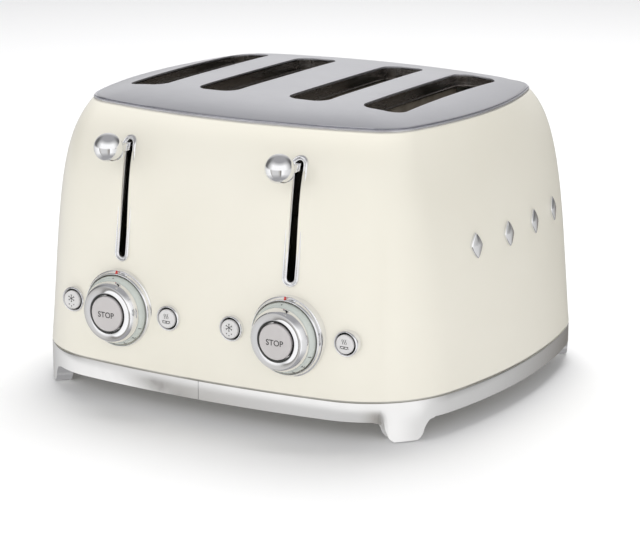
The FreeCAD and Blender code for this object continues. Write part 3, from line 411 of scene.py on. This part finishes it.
collar_steel = finish("collar_steel", (0.42, 0.40, 0.385), 0.22, metallic=1.0)
uneven(collar_steel, pattern(collar_steel, 30, stretch=(1, 1, 8)), 0.00002, 0.16, 0.32)
for number in (1, 2, 3, 4):
    paint("slot_collar_%d" % number, collar_steel)

# ---------------------------------------------------------------------------
# Base ring: two castings, satin polished, that meet at the middle of the front
# and the back. Four feet are cast in one with them, with hollow curves between
# foot and rail, and each foot has a rubber pad let into its tip.
# ---------------------------------------------------------------------------
ring_low, ring_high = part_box("base_ring_right")
RING_TOP = ring_high.z
RAIL_Z = 0.0147
FOOT_TIP_Z = ring_low.z
RING_WALL = 0.010
rings = []
for inset, z in ((0.0, FOOT_TIP_Z), (0.0, RING_TOP - 0.0009), (0.0003, RING_TOP - 0.0003), (0.0009, RING_TOP),
                 (RING_WALL, RING_TOP), (RING_WALL, FOOT_TIP_Z)):
    size = SHELL_FOOT
    rings.append(bowed_ring(size[0] - inset, size[1] - inset, size[2], size[3], size[4] - inset, z, steps=32))
casting = bridged("base_casting", rings, closed=True)
bpy.ops.mesh.primitive_cube_add(size=1)
mask = bpy.context.active_object
mask.scale = (0.5, 0.5, 0.05)
place(mask, (0, 0, RAIL_Z + 0.025))
FOOT_ANGLE = math.radians(41.0)
TIP_HALF, ROOT_HALF = 0.0081, 0.0212
FOOT_SPOT = (SHELL_FOOT[0] - 0.0261, SHELL_FOOT[1] - 0.0300)
rise = RAIL_Z - FOOT_TIP_Z
flank = [(ROOT_HALF, RAIL_Z), (0.70 * ROOT_HALF + 0.30 * TIP_HALF, RAIL_Z - 0.10 * rise),
         (0.43 * ROOT_HALF + 0.57 * TIP_HALF, RAIL_Z - 0.42 * rise),
         (0.24 * ROOT_HALF + 0.76 * TIP_HALF, RAIL_Z - 0.82 * rise), (TIP_HALF, FOOT_TIP_Z)]
for sx, sy in ((1, -1), (1, 1), (-1, 1), (-1, -1)):
    curve = bpy.data.curves.new("foot", "CURVE")
    curve.dimensions = "2D"
    curve.resolution_u = 10
    spline = curve.splines.new("BEZIER")
    outline = [(ROOT_HALF, RAIL_Z + 0.006)] + flank + [(-a, b) for a, b in reversed(flank)]
    outline.append((-ROOT_HALF, RAIL_Z + 0.006))
    spline.bezier_points.add(len(outline) - 1)
    spline.use_cyclic_u = True
    for point, (across, up) in zip(spline.bezier_points, outline):
        point.co = (across, up, 0)
        sharp = up > RAIL_Z or up <= FOOT_TIP_Z + 1e-6
        point.handle_left_type = point.handle_right_type = "VECTOR" if sharp else "AUTO"
    curve.extrude = 0.05
    curve.fill_mode = "BOTH"
    foot = bpy.data.objects.new("foot", curve)
    bpy.context.collection.objects.link(foot)
    only(foot)
    bpy.ops.object.convert(target="MESH")
    foot = bpy.context.active_object
    bearing = math.atan2(sy * math.sin(FOOT_ANGLE), sx * math.cos(FOOT_ANGLE))
    place(foot, rotation=(math.radians(90), 0, bearing + math.radians(90)))
    place(foot, (sx * FOOT_SPOT[0], sy * FOOT_SPOT[1], 0))
    only(foot)
    bpy.ops.object.mode_set(mode="EDIT")
    bpy.ops.mesh.select_all(action="SELECT")
    bpy.ops.mesh.remove_doubles(threshold=0.00001)
    bpy.ops.mesh.normals_make_consistent(inside=False)
    bpy.ops.object.mode_set(mode="OBJECT")
    only(mask)
    step = mask.modifiers.new("add", "BOOLEAN")
    step.operation = "UNION"
    step.solver = "EXACT"
    step.object = foot
    bpy.ops.object.modifier_apply(modifier=step.name)
    bpy.data.objects.remove(foot)
only(casting)
step = casting.modifiers.new("keep", "BOOLEAN")
step.operation = "INTERSECT"
step.solver = "EXACT"
step.object = mask
bpy.ops.object.modifier_apply(modifier=step.name)
bpy.data.objects.remove(mask)
for side in (-1, 1):
    bpy.ops.mesh.primitive_cube_add(size=1)
    gap = bpy.context.active_object
    gap.scale = (0.1092, 0.08, 0.0092)
    cut_away(casting, place(gap, (side * 0.064, 0.14, 0.0212)))
for sx, sy in ((1, -1), (1, 1), (-1, 1), (-1, -1)):
    bpy.ops.mesh.primitive_cylinder_add(vertices=48, radius=0.0052, depth=0.006)
    cut_away(casting, place(bpy.context.active_object,
                            (sx * (FOOT_SPOT[0] - 0.0066 * math.cos(FOOT_ANGLE)),
                             sy * (FOOT_SPOT[1] - 0.0066 * math.sin(FOOT_ANGLE)), 0.0)))
only(casting)
edge_round = casting.modifiers.new("round", "BEVEL")
edge_round.width = 0.0007
edge_round.segments = 2
edge_round.limit_method = "ANGLE"
edge_round.angle_limit = math.radians(50)
bpy.ops.object.modifier_apply(modifier=edge_round.name)

satin = finish("satin_casting", (0.80, 0.795, 0.79), 0.16, metallic=1.0)
uneven(satin, pattern(satin, 90, detail=3.0), 0.000012, 0.13, 0.20)
for side, sign in (("left", -1), ("right", 1)):
    half = casting.copy()
    half.data = casting.data.copy()
    half.name = half.data.name = "base_casting_" + side
    bpy.context.collection.objects.link(half)
    only(half)
    bpy.ops.object.mode_set(mode="EDIT")
    bpy.ops.mesh.select_all(action="SELECT")
    bpy.ops.mesh.bisect(plane_co=(sign * 0.00015, 0, 0), plane_no=(sign, 0, 0), clear_inner=True, use_fill=True)
    bpy.ops.object.mode_set(mode="OBJECT")
    smooth(half, 35)
    dress(half, satin)
    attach(half, "chassis")
    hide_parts("base_ring_" + side)
bpy.data.objects.remove(casting)

pad_rubber = finish("pad_rubber", (0.022, 0.022, 0.023), 0.75)
uneven(pad_rubber, pattern(pad_rubber, 400), 0.00004)
paint("foot_pads", pad_rubber)

# ---------------------------------------------------------------------------
# Floor plate, rails, crumb trays and screws: zinc-plated sheet under the
# chambers. The trays slide out at the back on four angle rails.
# ---------------------------------------------------------------------------
plated = finish("plated_sheet", (0.56, 0.55, 0.51), 0.38, metallic=1.0)
spangle = pattern(plated, 55, detail=2.0)
uneven(plated, spangle, 0.00001, 0.30, 0.48)
tinted(plated, spangle, (0.50, 0.49, 0.45), (0.62, 0.61, 0.57))
for node in ("base_plate", "tray_rails", "crumb_tray_left", "crumb_tray_right", "front_frame", "rear_frame",
             "carriage_left", "carriage_right", "bread_rack_1", "bread_rack_2", "bread_rack_3",
             "bread_rack_4"):
    paint(node, plated)

drawn_wire = finish("drawn_wire", (0.62, 0.62, 0.61), 0.26, metallic=1.0)
uneven(drawn_wire, pattern(drawn_wire, 200, stretch=(1, 0.1, 1)), 0.000008, 0.2, 0.34)
for node in ("base_screws", "guide_rods_left", "guide_rods_right", "lift_spring_left", "lift_spring_right"):
    paint(node, drawn_wire)
for number in range(1, 9):
    paint("bread_guard_%d" % number, drawn_wire)

# ---------------------------------------------------------------------------
# Toasting chambers: brown mica cards with flat alloy windings, two cards to a
# slot, held between the front and rear frames.
# ---------------------------------------------------------------------------
mica = finish("mica_card", (0.30, 0.26, 0.21), 0.42)
flakes = pattern(mica, 70, stretch=(1, 1, 1.6), detail=6.0)
uneven(mica, flakes, 0.00008, 0.32, 0.55)
tinted(mica, flakes, (0.22, 0.185, 0.15), (0.36, 0.315, 0.26))
winding = finish("heating_alloy", (0.36, 0.33, 0.31), 0.4, metallic=1.0)
uneven(winding, pattern(winding, 120), 0.00001, 0.3, 0.5)
for side in ("left", "right"):
    paint("mica_cards_" + side, mica)
    paint("heater_ribbons_" + side, winding)

laminate = finish("board_laminate", (0.030, 0.115, 0.055), 0.42, coat=0.2)
uneven(laminate, pattern(laminate, 300, stretch=(1, 1, 1)), 0.00001)
tinted(laminate, pattern(laminate, 40), (0.026, 0.10, 0.048), (0.036, 0.13, 0.064))
paint("control_board", laminate)
copper = finish("copper_coil", (0.60, 0.28, 0.13), 0.35, metallic=1.0)
uneven(copper, pattern(copper, 60, stretch=(1, 1, 22)), 0.00005, 0.28, 0.42)
for side in ("left", "right"):
    paint("latch_magnet_" + side, copper)
gland_rubber = finish("gland_rubber", (0.02, 0.02, 0.021), 0.6)
uneven(gland_rubber, pattern(gland_rubber, 500), 0.00003)
paint("cord_gland", gland_rubber)

# ---------------------------------------------------------------------------
# Lever bezels: chromed rims round the lever slots, pressed to the shell's own
# curve, with a raised outer bead and a lower inner step.
# ---------------------------------------------------------------------------


def front_y(x, z):
    """Where the shell's front face lies."""
    half_x, half_y, bow_x, bow_y, corner = shell_outline(z)
    radius = (half_x ** 2 + bow_y ** 2) / (2 * bow_y)
    return radius - half_y - math.sqrt(radius ** 2 - x ** 2)


chrome = finish("bright_chrome", (0.86, 0.86, 0.87), 0.055, metallic=1.0)
uneven(chrome, pattern(chrome, 25, detail=2.0), 0.0, 0.04, 0.075)
for side, sign in (("left", -1), ("right", 1)):
    rings = []
    for out, stand in ((BEZEL_RIM, -0.0010), (BEZEL_RIM, 0.0008), (0.0030, 0.0014), (0.0026, 0.0018),
                       (0.0022, 0.0017), (0.0019, 0.0012), (0.0017, 0.0003), (0.0014, 0.0002),
                       (0.0012, 0.0008), (0.0008, 0.0010), (0.0004, 0.0009), (0.0001, 0.0005),
                       (0.0, 0.0), (0.0, -0.0024)):
        loop = long_prism("bezel_loop", SLOT_HALF + out, LEVER_SLOT_HIGH - LEVER_SLOT_LOW + 2 * out, 0.001,
                          steps=64)
        half = [v for v in loop.data.vertices if v.co.z < 0.0005]
        order = sorted(half, key=lambda v: math.atan2(v.co.y, v.co.x))
        spots = []
        for v in order:
            x = sign * LEVER_X + v.co.x
            z = v.co.y + (LEVER_SLOT_LOW + LEVER_SLOT_HIGH) / 2
            spots.append((x, front_y(x, z) - stand, z))
        bpy.data.objects.remove(loop)
        mesh = bpy.data.meshes.new("bezel_loop")
        mesh.from_pydata(spots, [(n, (n + 1) % len(spots)) for n in range(len(spots))], [])
        ring = bpy.data.objects.new("bezel_loop", mesh)
        bpy.context.collection.objects.link(ring)
        rings.append(ring)
    bezel = bridged("slot_bezel_" + side, rings, closed=True)
    smooth(bezel, 40)
    dress(bezel, chrome)
    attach(bezel, "chassis")
    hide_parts("lever_bezel_" + side)

# ---------------------------------------------------------------------------
# Levers: a flat steel blade through each front slot, chromed, with a turned
# ball on a short cone pressed on its end. The ball sits a little above the blade.
# ---------------------------------------------------------------------------


def turned(name, profile, centre, closed=False, steps=96):
    """Piece turned on an axis that runs front to back: the profile is (radius, forward) pairs."""
    mesh = bpy.data.meshes.new(name)
    spots = [(radius, -forward, 0.0) for radius, forward in profile]
    last = len(spots) if closed else len(spots) - 1
    mesh.from_pydata(spots, [(n, (n + 1) % len(spots)) for n in range(last)], [])
    piece = bpy.data.objects.new(name, mesh)
    bpy.context.collection.objects.link(piece)
    only(piece)
    bpy.ops.object.mode_set(mode="EDIT")
    bpy.ops.mesh.select_all(action="SELECT")
    bpy.ops.mesh.spin(steps=steps, angle=2 * math.pi, center=(0, 0, 0), axis=(0, 1, 0))
    bpy.ops.mesh.select_all(action="SELECT")
    bpy.ops.mesh.remove_doubles(threshold=0.00001)
    bpy.ops.mesh.normals_make_consistent(inside=False)
    bpy.ops.object.mode_set(mode="OBJECT")
    place(piece, centre)
    smooth(piece, 32)
    return piece


knob_low, knob_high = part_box("lever_knob_right")
BALL = 0.00975
BALL_Y, BALL_Z = knob_low.y + BALL, knob_high.z - BALL
NECK = 0.0083
for side, sign in (("left", -1), ("right", 1)):
    profile = [(BALL * math.sin(math.radians(a)), BALL * math.cos(math.radians(a))) for a in range(0, 181, 4)]
    ball = turned("ball_knob_" + side, profile, (sign * LEVER_X, BALL_Y, BALL_Z))
    cone = turned("neck_" + side, [
        (0.0, -0.0042), (0.0079, -0.0043), (NECK, -0.0048), (0.0081, -0.0053), (0.0045, -0.0103),
        (0.0039, -0.0108), (0.0, -0.0108)], (sign * LEVER_X, BALL_Y, knob_low.z + NECK))
    bpy.ops.object.select_all(action="DESELECT")
    ball.select_set(True)
    cone.select_set(True)
    bpy.context.view_layer.objects.active = ball
    bpy.ops.object.join()
    knob = bpy.context.active_object
    smooth(knob, 32)
    dress(knob, chrome)
    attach(knob, "carriage_" + side)
    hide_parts("lever_knob_" + side)
    low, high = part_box("lever_stem_" + side)
    bpy.ops.mesh.primitive_cube_add(size=1)
    blade = bpy.context.active_object
    blade.name = blade.data.name = "lever_blade_" + side
    blade.scale = high - low
    place(blade, (low + high) / 2)
    bpy.ops.object.mode_set(mode="EDIT")
    bpy.ops.mesh.select_all(action="SELECT")
    bpy.ops.mesh.bevel(offset=0.0005, segments=3)
    bpy.ops.object.mode_set(mode="OBJECT")
    smooth(blade, 40)
    dress(blade, chrome)
    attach(blade, "carriage_" + side)
    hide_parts("lever_stem_" + side)

# ---------------------------------------------------------------------------
# Dial flanges: stepped chromed rings fixed on the shell behind the dials, with
# a red index line at the top.
# ---------------------------------------------------------------------------
DIAL_Y = front_y(LEVER_X, DIAL_Z)
index_red = finish("index_red", (0.62, 0.035, 0.025), 0.4)
uneven(index_red, pattern(index_red, 800), 0.000005)
for side, sign in (("left", -1), ("right", 1)):
    flange = turned("flange_" + side, [
        (0.0245, -0.0040), (0.0270, -0.0040), (0.0270, 0.0011), (0.0268, 0.0017), (0.0264, 0.0020),
        (0.0261, 0.0019), (0.0259, 0.0022), (0.0257, 0.0036), (0.0254, 0.0044), (0.0250, 0.0049),
        (0.0247, 0.0050), (0.0245, 0.0047)], (sign * LEVER_X, DIAL_Y, DIAL_Z), closed=True, steps=128)
    dress(flange, chrome)
    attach(flange, "chassis")
    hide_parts("dial_flange_" + side)
    bpy.ops.mesh.primitive_cube_add(size=1)
    mark = bpy.context.active_object
    mark.name = mark.data.name = "index_line_" + side
    mark.scale = (0.0009, 0.0016, 0.0024)
    place(mark, rotation=(math.radians(-25), 0, 0))
    place(mark, (sign * LEVER_X, DIAL_Y - 0.0036, DIAL_Z + 0.0259))
    bpy.ops.object.mode_set(mode="EDIT")
    bpy.ops.mesh.select_all(action="SELECT")
    bpy.ops.mesh.bevel(offset=0.0002, segments=2)
    bpy.ops.object.mode_set(mode="OBJECT")
    dress(mark, index_red)
    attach(mark, "chassis")

# ---------------------------------------------------------------------------
# Browning dials: a chromed cap on a pale skirt that carries the numbers, with a dark gloss ring in the recess
# round the stop button that paints the shade of the recess.
# ---------------------------------------------------------------------------
skirt_plastic = finish("skirt_plastic", (0.60, 0.64, 0.60), 0.28, coat=0.5)
uneven(skirt_plastic, pattern(skirt_plastic, 60), 0.000005, 0.22, 0.34)
# Near-black gloss for the ring in the dial recess: painted shade of the recess round the stop button.
painted_recess_shade = finish("painted_recess_shade", (0.075, 0.078, 0.075), 0.16, coat=0.6)
uneven(painted_recess_shade, pattern(painted_recess_shade, 60), 0.0, 0.12, 0.2)
print_ink = finish("print_ink", (0.035, 0.035, 0.035), 0.5)
uneven(print_ink, pattern(print_ink, 900), 0.000004)
CAP_FRONT = DIAL_Y - dial_low.y


def lettering(name, words, height, centre, turn=0.0, tilt=0.0, font_weight=0.0):
    """Printed letters or numbers, a film thick, facing the front."""
    bpy.ops.object.select_all(action="DESELECT")
    bpy.ops.object.text_add()
    text = bpy.context.active_object
    text.data.body = words
    text.data.size = height / 0.72
    text.data.align_x = "CENTER"
    text.data.align_y = "CENTER"
    text.data.extrude = 0.00006
    text.data.offset = font_weight
    bpy.ops.object.convert(target="MESH")
    piece = bpy.context.active_object
    piece.name = piece.data.name = name
    middle = sum((Vector(corner) for corner in piece.bound_box), Vector()) / 8
    place(piece, -middle)
    place(piece, rotation=FRONTWARDS)
    place(piece, rotation=(tilt, 0, 0))
    place(piece, rotation=(0, turn, 0))
    place(piece, centre)
    return piece


for side, sign in (("left", -1), ("right", 1)):
    centre = (sign * LEVER_X, DIAL_Y, DIAL_Z)
    skirt = turned("dial_skirt_" + side, [
        (0.0, -0.014), (0.004, -0.014), (0.004, 0.0034), (0.0230, 0.0034), (0.0235, 0.0040),
        (0.0236, 0.0058), (0.0234, 0.0065), (0.0222, 0.0087), (0.0217, 0.0091), (0.0205, 0.0092),
        (0.0, 0.0092)], centre, steps=128)
    dress(skirt, skirt_plastic)
    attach(skirt, "dial_" + side)
    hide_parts("browning_dial_" + side)
    cap = turned("dial_cap_" + side, [
        (0.0, 0.0091), (0.0210, 0.0091), (0.0213, 0.0093), (0.0214, 0.0098), (0.0208, 0.0120),
        (0.0196, CAP_FRONT - 0.0012), (0.0191, CAP_FRONT - 0.0004), (0.0185, CAP_FRONT),
        (0.0144, CAP_FRONT), (0.0140, CAP_FRONT - 0.0002), (0.0138, CAP_FRONT - 0.0006),
        (0.0138, CAP_FRONT - 0.0058), (0.0, CAP_FRONT - 0.0058)], centre, steps=128)
    dress(cap, chrome)
    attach(cap, "dial_" + side)
    # Dark sleeve lining the cap's bore round the stop button: painted shade in the recess.
    liner = turned("dial_shade_sleeve_" + side, [
        (0.01375, CAP_FRONT - 0.0008), (0.0133, CAP_FRONT - 0.0013), (0.0127, CAP_FRONT - 0.0018),
        (0.0124, CAP_FRONT - 0.0056), (0.01375, CAP_FRONT - 0.0056)], centre, closed=True, steps=128)
    dress(liner, painted_recess_shade)
    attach(liner, "dial_" + side)
    for number in range(0, 7):
        angle = 0.0 if number == 0 else math.radians(114 + 22 * (number - 1))
        reach = 0.0228
        words = "•" if number == 0 else str(number)
        spot = (centre[0] + reach * math.sin(angle), DIAL_Y - 0.0077, DIAL_Z + reach * math.cos(angle))
        digit = lettering("dial_mark_%d_%s" % (number, side), words, 0.0025, spot, turn=angle,
                          tilt=math.radians(-61), font_weight=0.00003)
        dress(digit, print_ink)
        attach(digit, "dial_" + side)

# ---------------------------------------------------------------------------
# Stop buttons: pearl grey moulded discs in the middle of the dials, slightly
# domed, with the word printed on.
# ---------------------------------------------------------------------------
pearl = finish("pearl_plastic", (0.60, 0.575, 0.57), 0.36, metallic=0.15, coat=0.25)
flake = pattern(pearl, 900, detail=2.0)
uneven(pearl, flake, 0.000006, 0.30, 0.42)
STOP_FACE = DIAL_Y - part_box("stop_button_right")[0].y - 0.0001
for side, sign in (("left", -1), ("right", 1)):
    centre = (sign * LEVER_X, DIAL_Y, DIAL_Z)
    disc = turned("stop_disc_" + side, [
        (0.0, STOP_FACE - 0.0046), (0.0061, STOP_FACE - 0.0046), (0.0061, STOP_FACE - 0.0028),
        (0.0119, STOP_FACE - 0.0028), (0.0121, STOP_FACE - 0.0024), (0.0121, STOP_FACE - 0.0010),
        (0.0118, STOP_FACE - 0.0005), (0.0113, STOP_FACE - 0.00025), (0.009, STOP_FACE - 0.0001),
        (0.005, STOP_FACE), (0.0, STOP_FACE)], centre, steps=128)
    dress(disc, pearl)
    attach(disc, "stop_" + side)
    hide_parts("stop_button_" + side)
    word = lettering("stop_word_" + side, "STOP", 0.0039, (centre[0], DIAL_Y - STOP_FACE, DIAL_Z - 0.0005),
                     font_weight=0.00006)
    dress(word, print_ink)
    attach(word, "stop_" + side)

# ---------------------------------------------------------------------------
# Defrost and reheat buttons: small satin discs in chromed rims, one each side
# of a dial, printed with a frost star and with rising warmth over a dish.
# ---------------------------------------------------------------------------
button_pearl = finish("button_pearl", (0.74, 0.73, 0.725), 0.34, metallic=0.1, coat=0.25)
uneven(button_pearl, pattern(button_pearl, 900, detail=2.0), 0.000006, 0.28, 0.40)
rims = []
for x in BUTTON_X:
    seat = front_y(x, DIAL_Z)
    rim = turned("button_rim", [
        (0.0068, -0.0030), (0.0088, -0.0030), (0.0088, 0.0015), (0.0086, 0.0022), (0.0082, 0.0026),
        (0.0078, 0.0025), (0.0073, 0.0019), (0.0069, 0.0012)], (x, seat, DIAL_Z), closed=True, steps=96)
    rims.append(rim)
bpy.ops.object.select_all(action="DESELECT")
for rim in rims:
    rim.select_set(True)
bpy.context.view_layer.objects.active = rims[0]
bpy.ops.object.join()
rim_set = bpy.context.active_object
rim_set.name = rim_set.data.name = "button_rims"
smooth(rim_set, 32)
dress(rim_set, chrome)
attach(rim_set, "chassis")
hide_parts("button_bezels")


def bar(name, width, height, centre, turn=0.0):
    """Printed stroke, a film thick, facing the front."""
    bpy.ops.object.select_all(action="DESELECT")
    bpy.ops.mesh.primitive_cube_add(size=1)
    piece = bpy.context.active_object
    piece.name = piece.data.name = name
    piece.scale = (width, 0.00012, height)
    place(piece)
    place(piece, rotation=(0, turn, 0))
    place(piece, centre)
    return piece


def joined(name, pieces):
    bpy.ops.object.select_all(action="DESELECT")
    for piece in pieces:
        piece.select_set(True)
    bpy.context.view_layer.objects.active = pieces[0]
    bpy.ops.object.join()
    whole = bpy.context.active_object
    whole.name = whole.data.name = name
    return whole


for side, sign in (("left", -1), ("right", 1)):
    for kind, x in (("defrost", sign * LEVER_X - BUTTON_STEP), ("reheat", sign * LEVER_X + BUTTON_STEP)):
        node = "%s_button_%s" % (kind, side)
        low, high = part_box(node)
        face = front_y(x, DIAL_Z) - low.y
        button = turned("%s_disc_%s" % (kind, side), [
            (0.0, -0.012), (0.0035, -0.012), (0.0035, face - 0.0026), (BUTTON_R - 0.0002, face - 0.0026),
            (BUTTON_R, face - 0.0022), (BUTTON_R, face - 0.0009), (BUTTON_R - 0.0003, face - 0.0004),
            (BUTTON_R - 0.0008, face - 0.00015), (0.0045, face), (0.0, face)],
            (x, front_y(x, DIAL_Z), DIAL_Z), steps=96)
        dress(button, button_pearl)
        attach(button, "%s_%s" % (kind, side))
        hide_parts(node)
        y = low.y
        strokes_drawn = []
        if kind == "defrost":
            for turn in (0, 60, 120):
                strokes_drawn.append(bar("stroke", 0.00042, 0.0050, (x, y, DIAL_Z + 0.0012), math.radians(turn)))
            for turn in range(0, 360, 60):
                a = math.radians(turn)
                for lean in (-35, 35):
                    b = math.radians(turn + lean)
                    spot = (x + 0.0019 * math.sin(a) + 0.0004 * math.sin(b), y,
                            DIAL_Z + 0.0012 + 0.0019 * math.cos(a) + 0.0004 * math.cos(b))
                    strokes_drawn.append(bar("stroke", 0.00034, 0.0009, spot, b))
            for dx, dz in ((-0.0019, -0.0030), (0.0019, -0.0030), (0.0, -0.0042)):
                strokes_drawn.append(bar("drop", 0.0006, 0.0008, (x + dx, y, DIAL_Z + dz)))
        else:
            for dx in (-0.0013, 0.0, 0.0013):
                for step in range(12):
                    u0, u1 = step / 12, (step + 1) / 12
                    p0 = Vector((x + dx + 0.0003 * math.sin(2 * math.pi * u0), y, DIAL_Z + 0.0002 + 0.0032 * u0))
                    p1 = Vector((x + dx + 0.0003 * math.sin(2 * math.pi * u1), y, DIAL_Z + 0.0002 + 0.0032 * u1))
                    run = p1 - p0
                    strokes_drawn.append(bar("stroke", 0.00036, run.length * 1.25, (p0 + p1) / 2,
                                             math.atan2(run.x, run.z)))
            strokes_drawn.append(bar("stroke", 0.0062, 0.0004, (x, y, DIAL_Z - 0.0014)))
            strokes_drawn.append(bar("stroke", 0.0048, 0.0004, (x, y, DIAL_Z - 0.0028)))
            for dx in (-0.0027, 0.0027):
                strokes_drawn.append(bar("stroke", 0.0004, 0.0016, (x + dx, y, DIAL_Z - 0.0021),
                                         math.radians(-30 if dx > 0 else 30)))
            strokes_drawn.append(bar("stroke", 0.0009, 0.0009, (x, y, DIAL_Z - 0.0021), math.radians(45)))
        symbol = joined("%s_symbol_%s" % (kind, side), strokes_drawn)
        dress(symbol, print_ink)
        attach(symbol, "%s_%s" % (kind, side))

# ---------------------------------------------------------------------------
# Side studs: four small plain lozenges, cast and chromed, pinned through the
# right wall of the shell.
# ---------------------------------------------------------------------------


def side_x(y, z):
    """Where the shell's right face lies."""
    half_x, half_y, bow_x, bow_y, corner = shell_outline(z)
    radius = (half_y ** 2 + bow_x ** 2) / (2 * bow_x)
    return half_x - radius + math.sqrt(radius ** 2 - y ** 2)


STUD_FRONT, STUD_STEP, STUD_Z = 0.054, 0.041, 0.119
STUD_HALF_Y, STUD_HALF_Z = 0.0060, 0.0085
studs = []
for number in range(4):
    y0 = -STUD_FRONT + number * STUD_STEP
    rings = []
    for share, stand in ((1.0, -0.0012), (1.0, 0.0012), (0.94, 0.0017), (0.86, 0.0019), (0.34, 0.0024),
                         (0.18, 0.0025)):
        spots = []
        for step in range(32):
            turn = 2 * math.pi * step / 32
            c, s = math.cos(turn), math.sin(turn)
            reach = 1 / (abs(c) ** 1.25 + abs(s) ** 1.25) ** (1 / 1.25)
            y = y0 + STUD_HALF_Y * share * reach * c
            z = STUD_Z + STUD_HALF_Z * share * reach * s
            spots.append((side_x(y, z) + stand, y, z))
        mesh = bpy.data.meshes.new("stud_loop")
        mesh.from_pydata(spots, [(n, (n + 1) % 32) for n in range(32)], [])
        ring = bpy.data.objects.new("stud_loop", mesh)
        bpy.context.collection.objects.link(ring)
        rings.append(ring)
    stud = bridged("stud", rings, capped=True)
    studs.append(stud)
stud_set = joined("side_lozenges", studs)
smooth(stud_set, 28)
dress(stud_set, chrome)
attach(stud_set, "chassis")
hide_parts("side_studs")

# ---------------------------------------------------------------------------
# Studio: a plain white floor, a camera above and to the right, a large lamp
# over the back, a weaker one in front, and a soft white tent with open gaps
# that the metal shows as darker bands.
# ---------------------------------------------------------------------------
bpy.ops.object.select_all(action="DESELECT")
bpy.ops.mesh.primitive_plane_add(size=30)
floor = bpy.context.active_object
floor.name = "floor"
floor_white = finish("floor_white", (0.93, 0.93, 0.93), 0.9)
floor.data.materials.append(floor_white)
floor.visible_glossy = False

camera_data = bpy.data.cameras.new("camera")
camera = bpy.data.objects.new("camera", camera_data)
bpy.context.collection.objects.link(camera)
camera.location = (0.8435, -1.4309, 0.5027)
aim = Vector((0.0053, 0.0, 0.0715))
camera.rotation_euler = (aim - camera.location).to_track_quat("-Z", "Y").to_euler()
camera_data.lens = 135.86
camera_data.sensor_width = 36
camera_data.clip_end = 60
bpy.context.scene.camera = camera


def lamp(name, location, target, size, power, colour=(1, 1, 1)):
    data = bpy.data.lights.new(name, "AREA")
    data.shape = "RECTANGLE"
    data.size, data.size_y = size
    data.energy = power
    data.color = colour
    light = bpy.data.objects.new(name, data)
    bpy.context.collection.objects.link(light)
    light.location = location
    light.rotation_euler = (Vector(target) - Vector(location)).to_track_quat("-Z", "Y").to_euler()
    return light


for box in (lamp("top_box", (-0.25, 0.75, 2.0), (0, 0, 0.05), (1.5, 1.1), 36),
            lamp("front_fill", (0.35, -2.4, 1.1), (0, 0, 0.1), (1.6, 1.2), 9.5)):
    box.visible_glossy = False

world = bpy.data.worlds.new("studio")
bpy.context.scene.world = world
world.use_nodes = True
nodes, links = world.node_tree.nodes, world.node_tree.links
background = nodes["Background"]
direction = nodes.new("ShaderNodeTexCoord")
split = nodes.new("ShaderNodeSeparateXYZ")
links.new(direction.outputs["Generated"], split.inputs["Vector"])
back = nodes.new("ShaderNodeMath")
back.operation = "MULTIPLY"
back.inputs[1].default_value = -1.0
links.new(split.outputs["Y"], back.inputs[0])
turn = nodes.new("ShaderNodeMath")
turn.operation = "ARCTAN2"
links.new(split.outputs["X"], turn.inputs[0])
links.new(back.outputs["Value"], turn.inputs[1])
share = nodes.new("ShaderNodeMapRange")
share.inputs["From Min"].default_value = -math.pi
share.inputs["From Max"].default_value = math.pi
links.new(turn.outputs["Value"], share.inputs["Value"])


def bands(stops):
    """Ramp round the horizon: (degrees from the front, brightness, warmth)."""
    ramp = nodes.new("ShaderNodeValToRGB")
    elements = ramp.color_ramp.elements
    while len(elements) > 1:
        elements.remove(elements[-1])
    for number, (degrees, light, warm) in enumerate(stops):
        element = elements[0] if number == 0 else elements.new((degrees + 180) / 360)
        element.position = (degrees + 180) / 360
        element.color = (light, light * (1 - 0.06 * warm), light * (1 - 0.14 * warm), 1)
    links.new(share.outputs["Result"], ramp.inputs["Fac"])
    return ramp


low_bands = bands(((-180, 0.20, 1), (-120, 0.55, 0), (-70, 0.95, 0), (-40.5, 1.05, 0), (-39, 0.16, 1),
                   (-33, 0.60, 0.3), (-20, 0.68, 0), (20, 0.66, 0), (34, 0.45, 0.6), (45, 0.10, 1),
                   (46, 1.10, 0), (60, 1.05, 0), (80, 0.85, 0), (140, 0.58, 0), (180, 0.20, 1)))
high_bands = bands(((-180, 0.45, 0), (-150, 0.78, 0), (-120, 0.45, 0), (-105, 0.14, 0), (-80, 0.14, 0),
                    (-58, 0.50, 0), (-25, 1.05, 0), (80, 1.05, 0), (118, 0.50, 0), (140, 0.14, 0),
                    (162, 0.14, 0), (180, 0.45, 0)))
lift = nodes.new("ShaderNodeMapRange")
lift.inputs["From Min"].default_value = -0.08
lift.inputs["From Max"].default_value = 0.06
links.new(split.outputs["Z"], lift.inputs["Value"])
blend = nodes.new("ShaderNodeMix")
blend.data_type = "RGBA"
links.new(lift.outputs["Result"], blend.inputs["Factor"])
links.new(low_bands.outputs["Color"], blend.inputs["A"])
links.new(high_bands.outputs["Color"], blend.inputs["B"])
steep = nodes.new("ShaderNodeMath")
steep.operation = "ABSOLUTE"
links.new(split.outputs["Z"], steep.inputs[0])
caps = nodes.new("ShaderNodeMapRange")
caps.inputs["From Min"].default_value = 0.50
caps.inputs["From Max"].default_value = 0.85
links.new(steep.outputs["Value"], caps.inputs["Value"])
tent = nodes.new("ShaderNodeMix")
tent.data_type = "RGBA"
links.new(caps.outputs["Result"], tent.inputs["Factor"])
links.new(blend.outputs["Result"], tent.inputs["A"])
tent.inputs["B"].default_value = (0.36, 0.36, 0.37, 1)
links.new(tent.outputs["Result"], background.inputs["Color"])
background.inputs["Strength"].default_value = 1.08
bpy.context.scene.view_settings.view_transform = "Standard"
